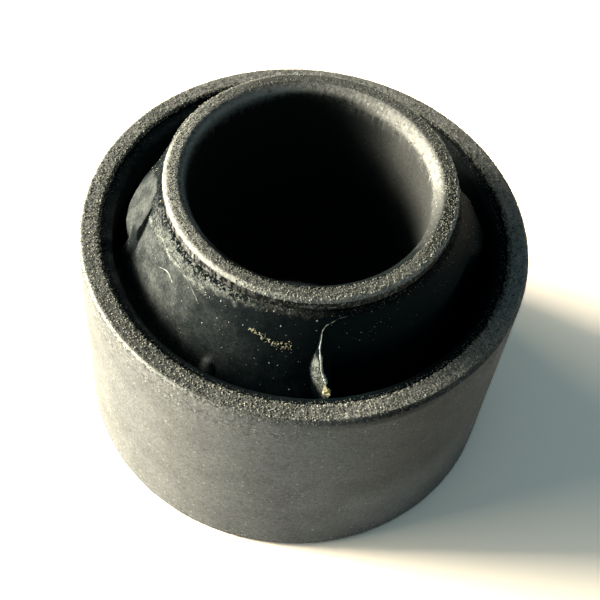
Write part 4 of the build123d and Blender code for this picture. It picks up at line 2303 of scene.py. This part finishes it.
        places = self._on_surface(radius[kept], angle[kept], 0.02)
        crumbs = Crumbs(places, size[kept], tint[kept], self.seed + 1, 0.7)
        crumbs.build("rubber_crumbs", Slot.RUBBER, material)

    def _over_pocket(self, radius: Array, angle: Array) -> Array:
        """Whether points lie over a pocket's opening."""
        inner, outer = self.moulding.edges(angle)
        local = self.moulding.local_angle(angle)
        pocket = self.moulding.pocket
        across = (local > pocket.begin - 0.5) & (local < pocket.finish + 0.5)
        return across & (radius > inner - 0.15) & (radius < outer + 0.15)

    def _granule(self, material: Material) -> None:
        """Sets the large yellowish granule at the foot of the seam.

        Args:
            material: finish of the residue.
        """
        draw = np.random.default_rng(self.seed + 7)
        count = self.granule_lumps
        radius, angle = np.array(self.granule_spot).reshape(2, 1)
        places = self._on_surface(radius, angle, self.granule_lift)
        places = np.repeat(places, count, axis=0) + 0.14 * draw.normal(size=(count, 3))
        size = 0.30 + 0.20 * draw.random(count)
        tint = 0.75 + 0.25 * draw.random(count)
        Crumbs(places, size, tint, self.seed + 8).build("seam_granule", Slot.RUBBER, material)


class RowTable:
    """Rows of a moulding's section, each with a radius and a level at every station."""

    def __init__(self) -> None:
        """Starts empty."""
        self.radius: list[Array] = []
        self.level: list[Array] = []
        self.over_pocket: list[bool] = []
        self.top_inner = 0
        self.top_outer = 0
        self.bottom_outer = 0
        self.bottom_inner = 0

    def add(self, radius: Array, level: Array, over_pocket: bool) -> None:
        """Adds a row; the strip after it is left open across the pockets where asked."""
        self.radius.append(radius)
        self.level.append(level)
        self.over_pocket.append(over_pocket)


def weld(points: Array, quads: Array) -> tuple[Array, Array]:
    """Joins vertices that share a place and drops faces that this closes.

    Args:
        points: vertices in millimetres.
        quads: four corner indices a face.

    Returns:
        The kept vertices and faces.
    """
    keys = np.round(points, WELD_DECIMALS)
    _, first, back = np.unique(keys, axis=0, return_index=True, return_inverse=True)
    quads = back.reshape(-1)[quads]
    distinct = np.array([len(set(face)) for face in quads.tolist()])
    quads = quads[distinct >= 3]
    return points[first], quads


def vertex_normals(points: Array, quads: Array) -> Array:
    """Unit normals at vertices, from the faces round each."""
    across = np.cross(points[quads[:, 2]] - points[quads[:, 0]], points[quads[:, 3]] - points[quads[:, 1]])
    total = np.zeros_like(points)
    for corner in range(4):
        np.add.at(total, quads[:, corner], across)
    length = np.linalg.norm(total, axis=1, keepdims=True)
    return total / np.maximum(length, TINY**2)


# ---------------------------------------------------------------- studio


@frozen
class Studio:
    """Pale floor, a soft window lamp at the left with a dim wide screen round it, and a faint even fill."""

    floor_size: float = 6.0
    lamp_angle: float = 172.5
    lamp_distance: float = 0.9
    lamp_width: float = 0.5
    lamp_height: float = 0.5
    lamp_centre: float = 0.28
    lamp_watts: float = 30.0
    lamp_colour: tuple[float, float, float] = (1, 0.97, 0.86)
    screen_width: float = 1.15
    screen_height: float = 0.7
    screen_centre: float = 0.38
    screen_watts: float = 9.0
    fill: tuple[float, float, float, float] = (0.058, 0.09, 0.113, 1)
    backdrop: tuple[float, float, float, float] = (1, 1, 1, 1)
    backdrop_top: float = 0.17
    backdrop_fade: float = 0.36

    def build(self) -> None:
        """Builds the floor, the lamps and the world."""
        self._floor()
        self._lamp("window_lamp", (self.lamp_width, self.lamp_height), self.lamp_centre, self.lamp_watts)
        screen = (self.screen_width, self.screen_height)
        self._lamp("screen_lamp", screen, self.screen_centre, self.screen_watts)
        self._world()

    def _floor(self) -> None:
        """Lays the floor under the bush."""
        half = self.floor_size / 2
        mesh = bpy.data.meshes.new("studio_floor")
        corners = [(-half, -half, 0.0), (half, -half, 0.0), (half, half, 0.0), (-half, half, 0.0)]
        mesh.from_pydata(corners, [], [(0, 1, 2, 3)])
        mesh.materials.append(FloorPaint().build())
        floor = bpy.data.objects.new("studio_floor", mesh)
        bpy.context.scene.collection.objects.link(floor)

    def _lamp(self, name: str, size: tuple[float, float], centre: float, watts: float) -> None:
        """Hangs a soft lamp, facing the bush.

        Args:
            name: name of the lamp.
            size: width and height in metres.
            centre: level of its middle in metres.
            watts: power.
        """
        light = bpy.data.lights.new(name, "AREA")
        light.shape = "RECTANGLE"
        light.size, light.size_y = size
        light.energy = watts
        light.color = self.lamp_colour
        lamp = bpy.data.objects.new(name, light)
        turn = math.radians(self.lamp_angle)
        spot = Vector((math.cos(turn), math.sin(turn), 0.0)) * self.lamp_distance
        lamp.location = spot + Vector((0.0, 0.0, centre))
        lamp.rotation_mode = "QUATERNION"
        lamp.rotation_quaternion = spot.to_track_quat("Z", "Y")
        bpy.context.scene.collection.objects.link(lamp)

    def _world(self) -> None:
        """Sets the fill light, and the white that the camera and reflections see."""
        world = bpy.data.worlds.new("studio_world")
        world.use_nodes = True
        sheet = NodeSheet(world.node_tree)
        output = sheet.node("ShaderNodeOutputWorld")
        background = sheet.node("ShaderNodeBackground")
        aim = sheet.node("ShaderNodeTexCoord")
        parts = sheet.node("ShaderNodeSeparateXYZ")
        sheet.link(aim.outputs["Generated"], parts.inputs[0])
        wall = sheet.span(parts.outputs["Z"], self.backdrop_top, self.backdrop_fade, 1.0, 0.0)
        seen = sheet.times(seen_directly(sheet), wall)
        sheet.link(sheet.blend(seen, self.fill, self.backdrop), background.inputs["Color"])
        sheet.link(background.outputs[0], output.inputs["Surface"])
        bpy.context.scene.world = world


@frozen
class ViewCamera:
    """Camera that looks down on the bush from the front."""

    distance: float = 124.57
    elevation: float = 51.158
    yaw: float = -0.149
    pitch: float = -3.459
    roll: float = -7.28
    focal: float = 73.24
    sensor: float = 36.0

    def build(self) -> Piece:
        """Builds the camera and makes it the scene's.

        Returns:
            The camera's object.
        """
        rise = math.radians(self.elevation)
        sleeve_top = height_span("outer_sleeve")[1]
        offset = Vector((0.0, -math.cos(rise), math.sin(rise))) * self.distance
        forward = -offset.normalized()
        right = Vector((1.0, 0.0, 0.0))
        up = right.cross(forward)
        turn = Quaternion(up, math.radians(self.yaw))
        forward, right = turn @ forward, turn @ right
        turn = Quaternion(right, math.radians(self.pitch))
        forward, up = turn @ forward, turn @ up
        turn = Quaternion(forward, math.radians(self.roll))
        right, up = turn @ right, turn @ up
        camera = bpy.data.cameras.new("view_camera")
        camera.lens = self.focal
        camera.sensor_width = self.sensor
        camera.clip_start = 0.005
        eye = bpy.data.objects.new("view_camera", camera)
        spin = Matrix((right, up, -forward)).transposed()
        spot = (offset + Vector((0.0, 0.0, sleeve_top))) * MM
        eye.matrix_world = Matrix.Translation(spot) @ spin.to_4x4()
        bpy.context.scene.collection.objects.link(eye)
        bpy.context.scene.camera = eye
        return eye


def main() -> None:
    """Builds the bush, its studio and the camera, and reports each piece."""
    logging.basicConfig(level=logging.INFO, format="%(name)s: %(message)s")
    steel = PhosphatedSteel().build()
    rubber = MouldedRubber().build()
    grains = PhosphateGrain().build()
    residue = DryResidue().build()
    for sleeve in (OuterSleeve(), InnerSleeve()):
        sleeve.build(steel)
        sleeve.strew(grains)
    moulding = RubberMoulding()
    moulding.build(rubber)
    RubberResidue(moulding).build(residue)
    Studio().build()
    ViewCamera().build()
    bpy.context.scene.view_settings.view_transform = "Standard"
    LOG.info("sizes written")


if __name__ == "__main__":
    main()
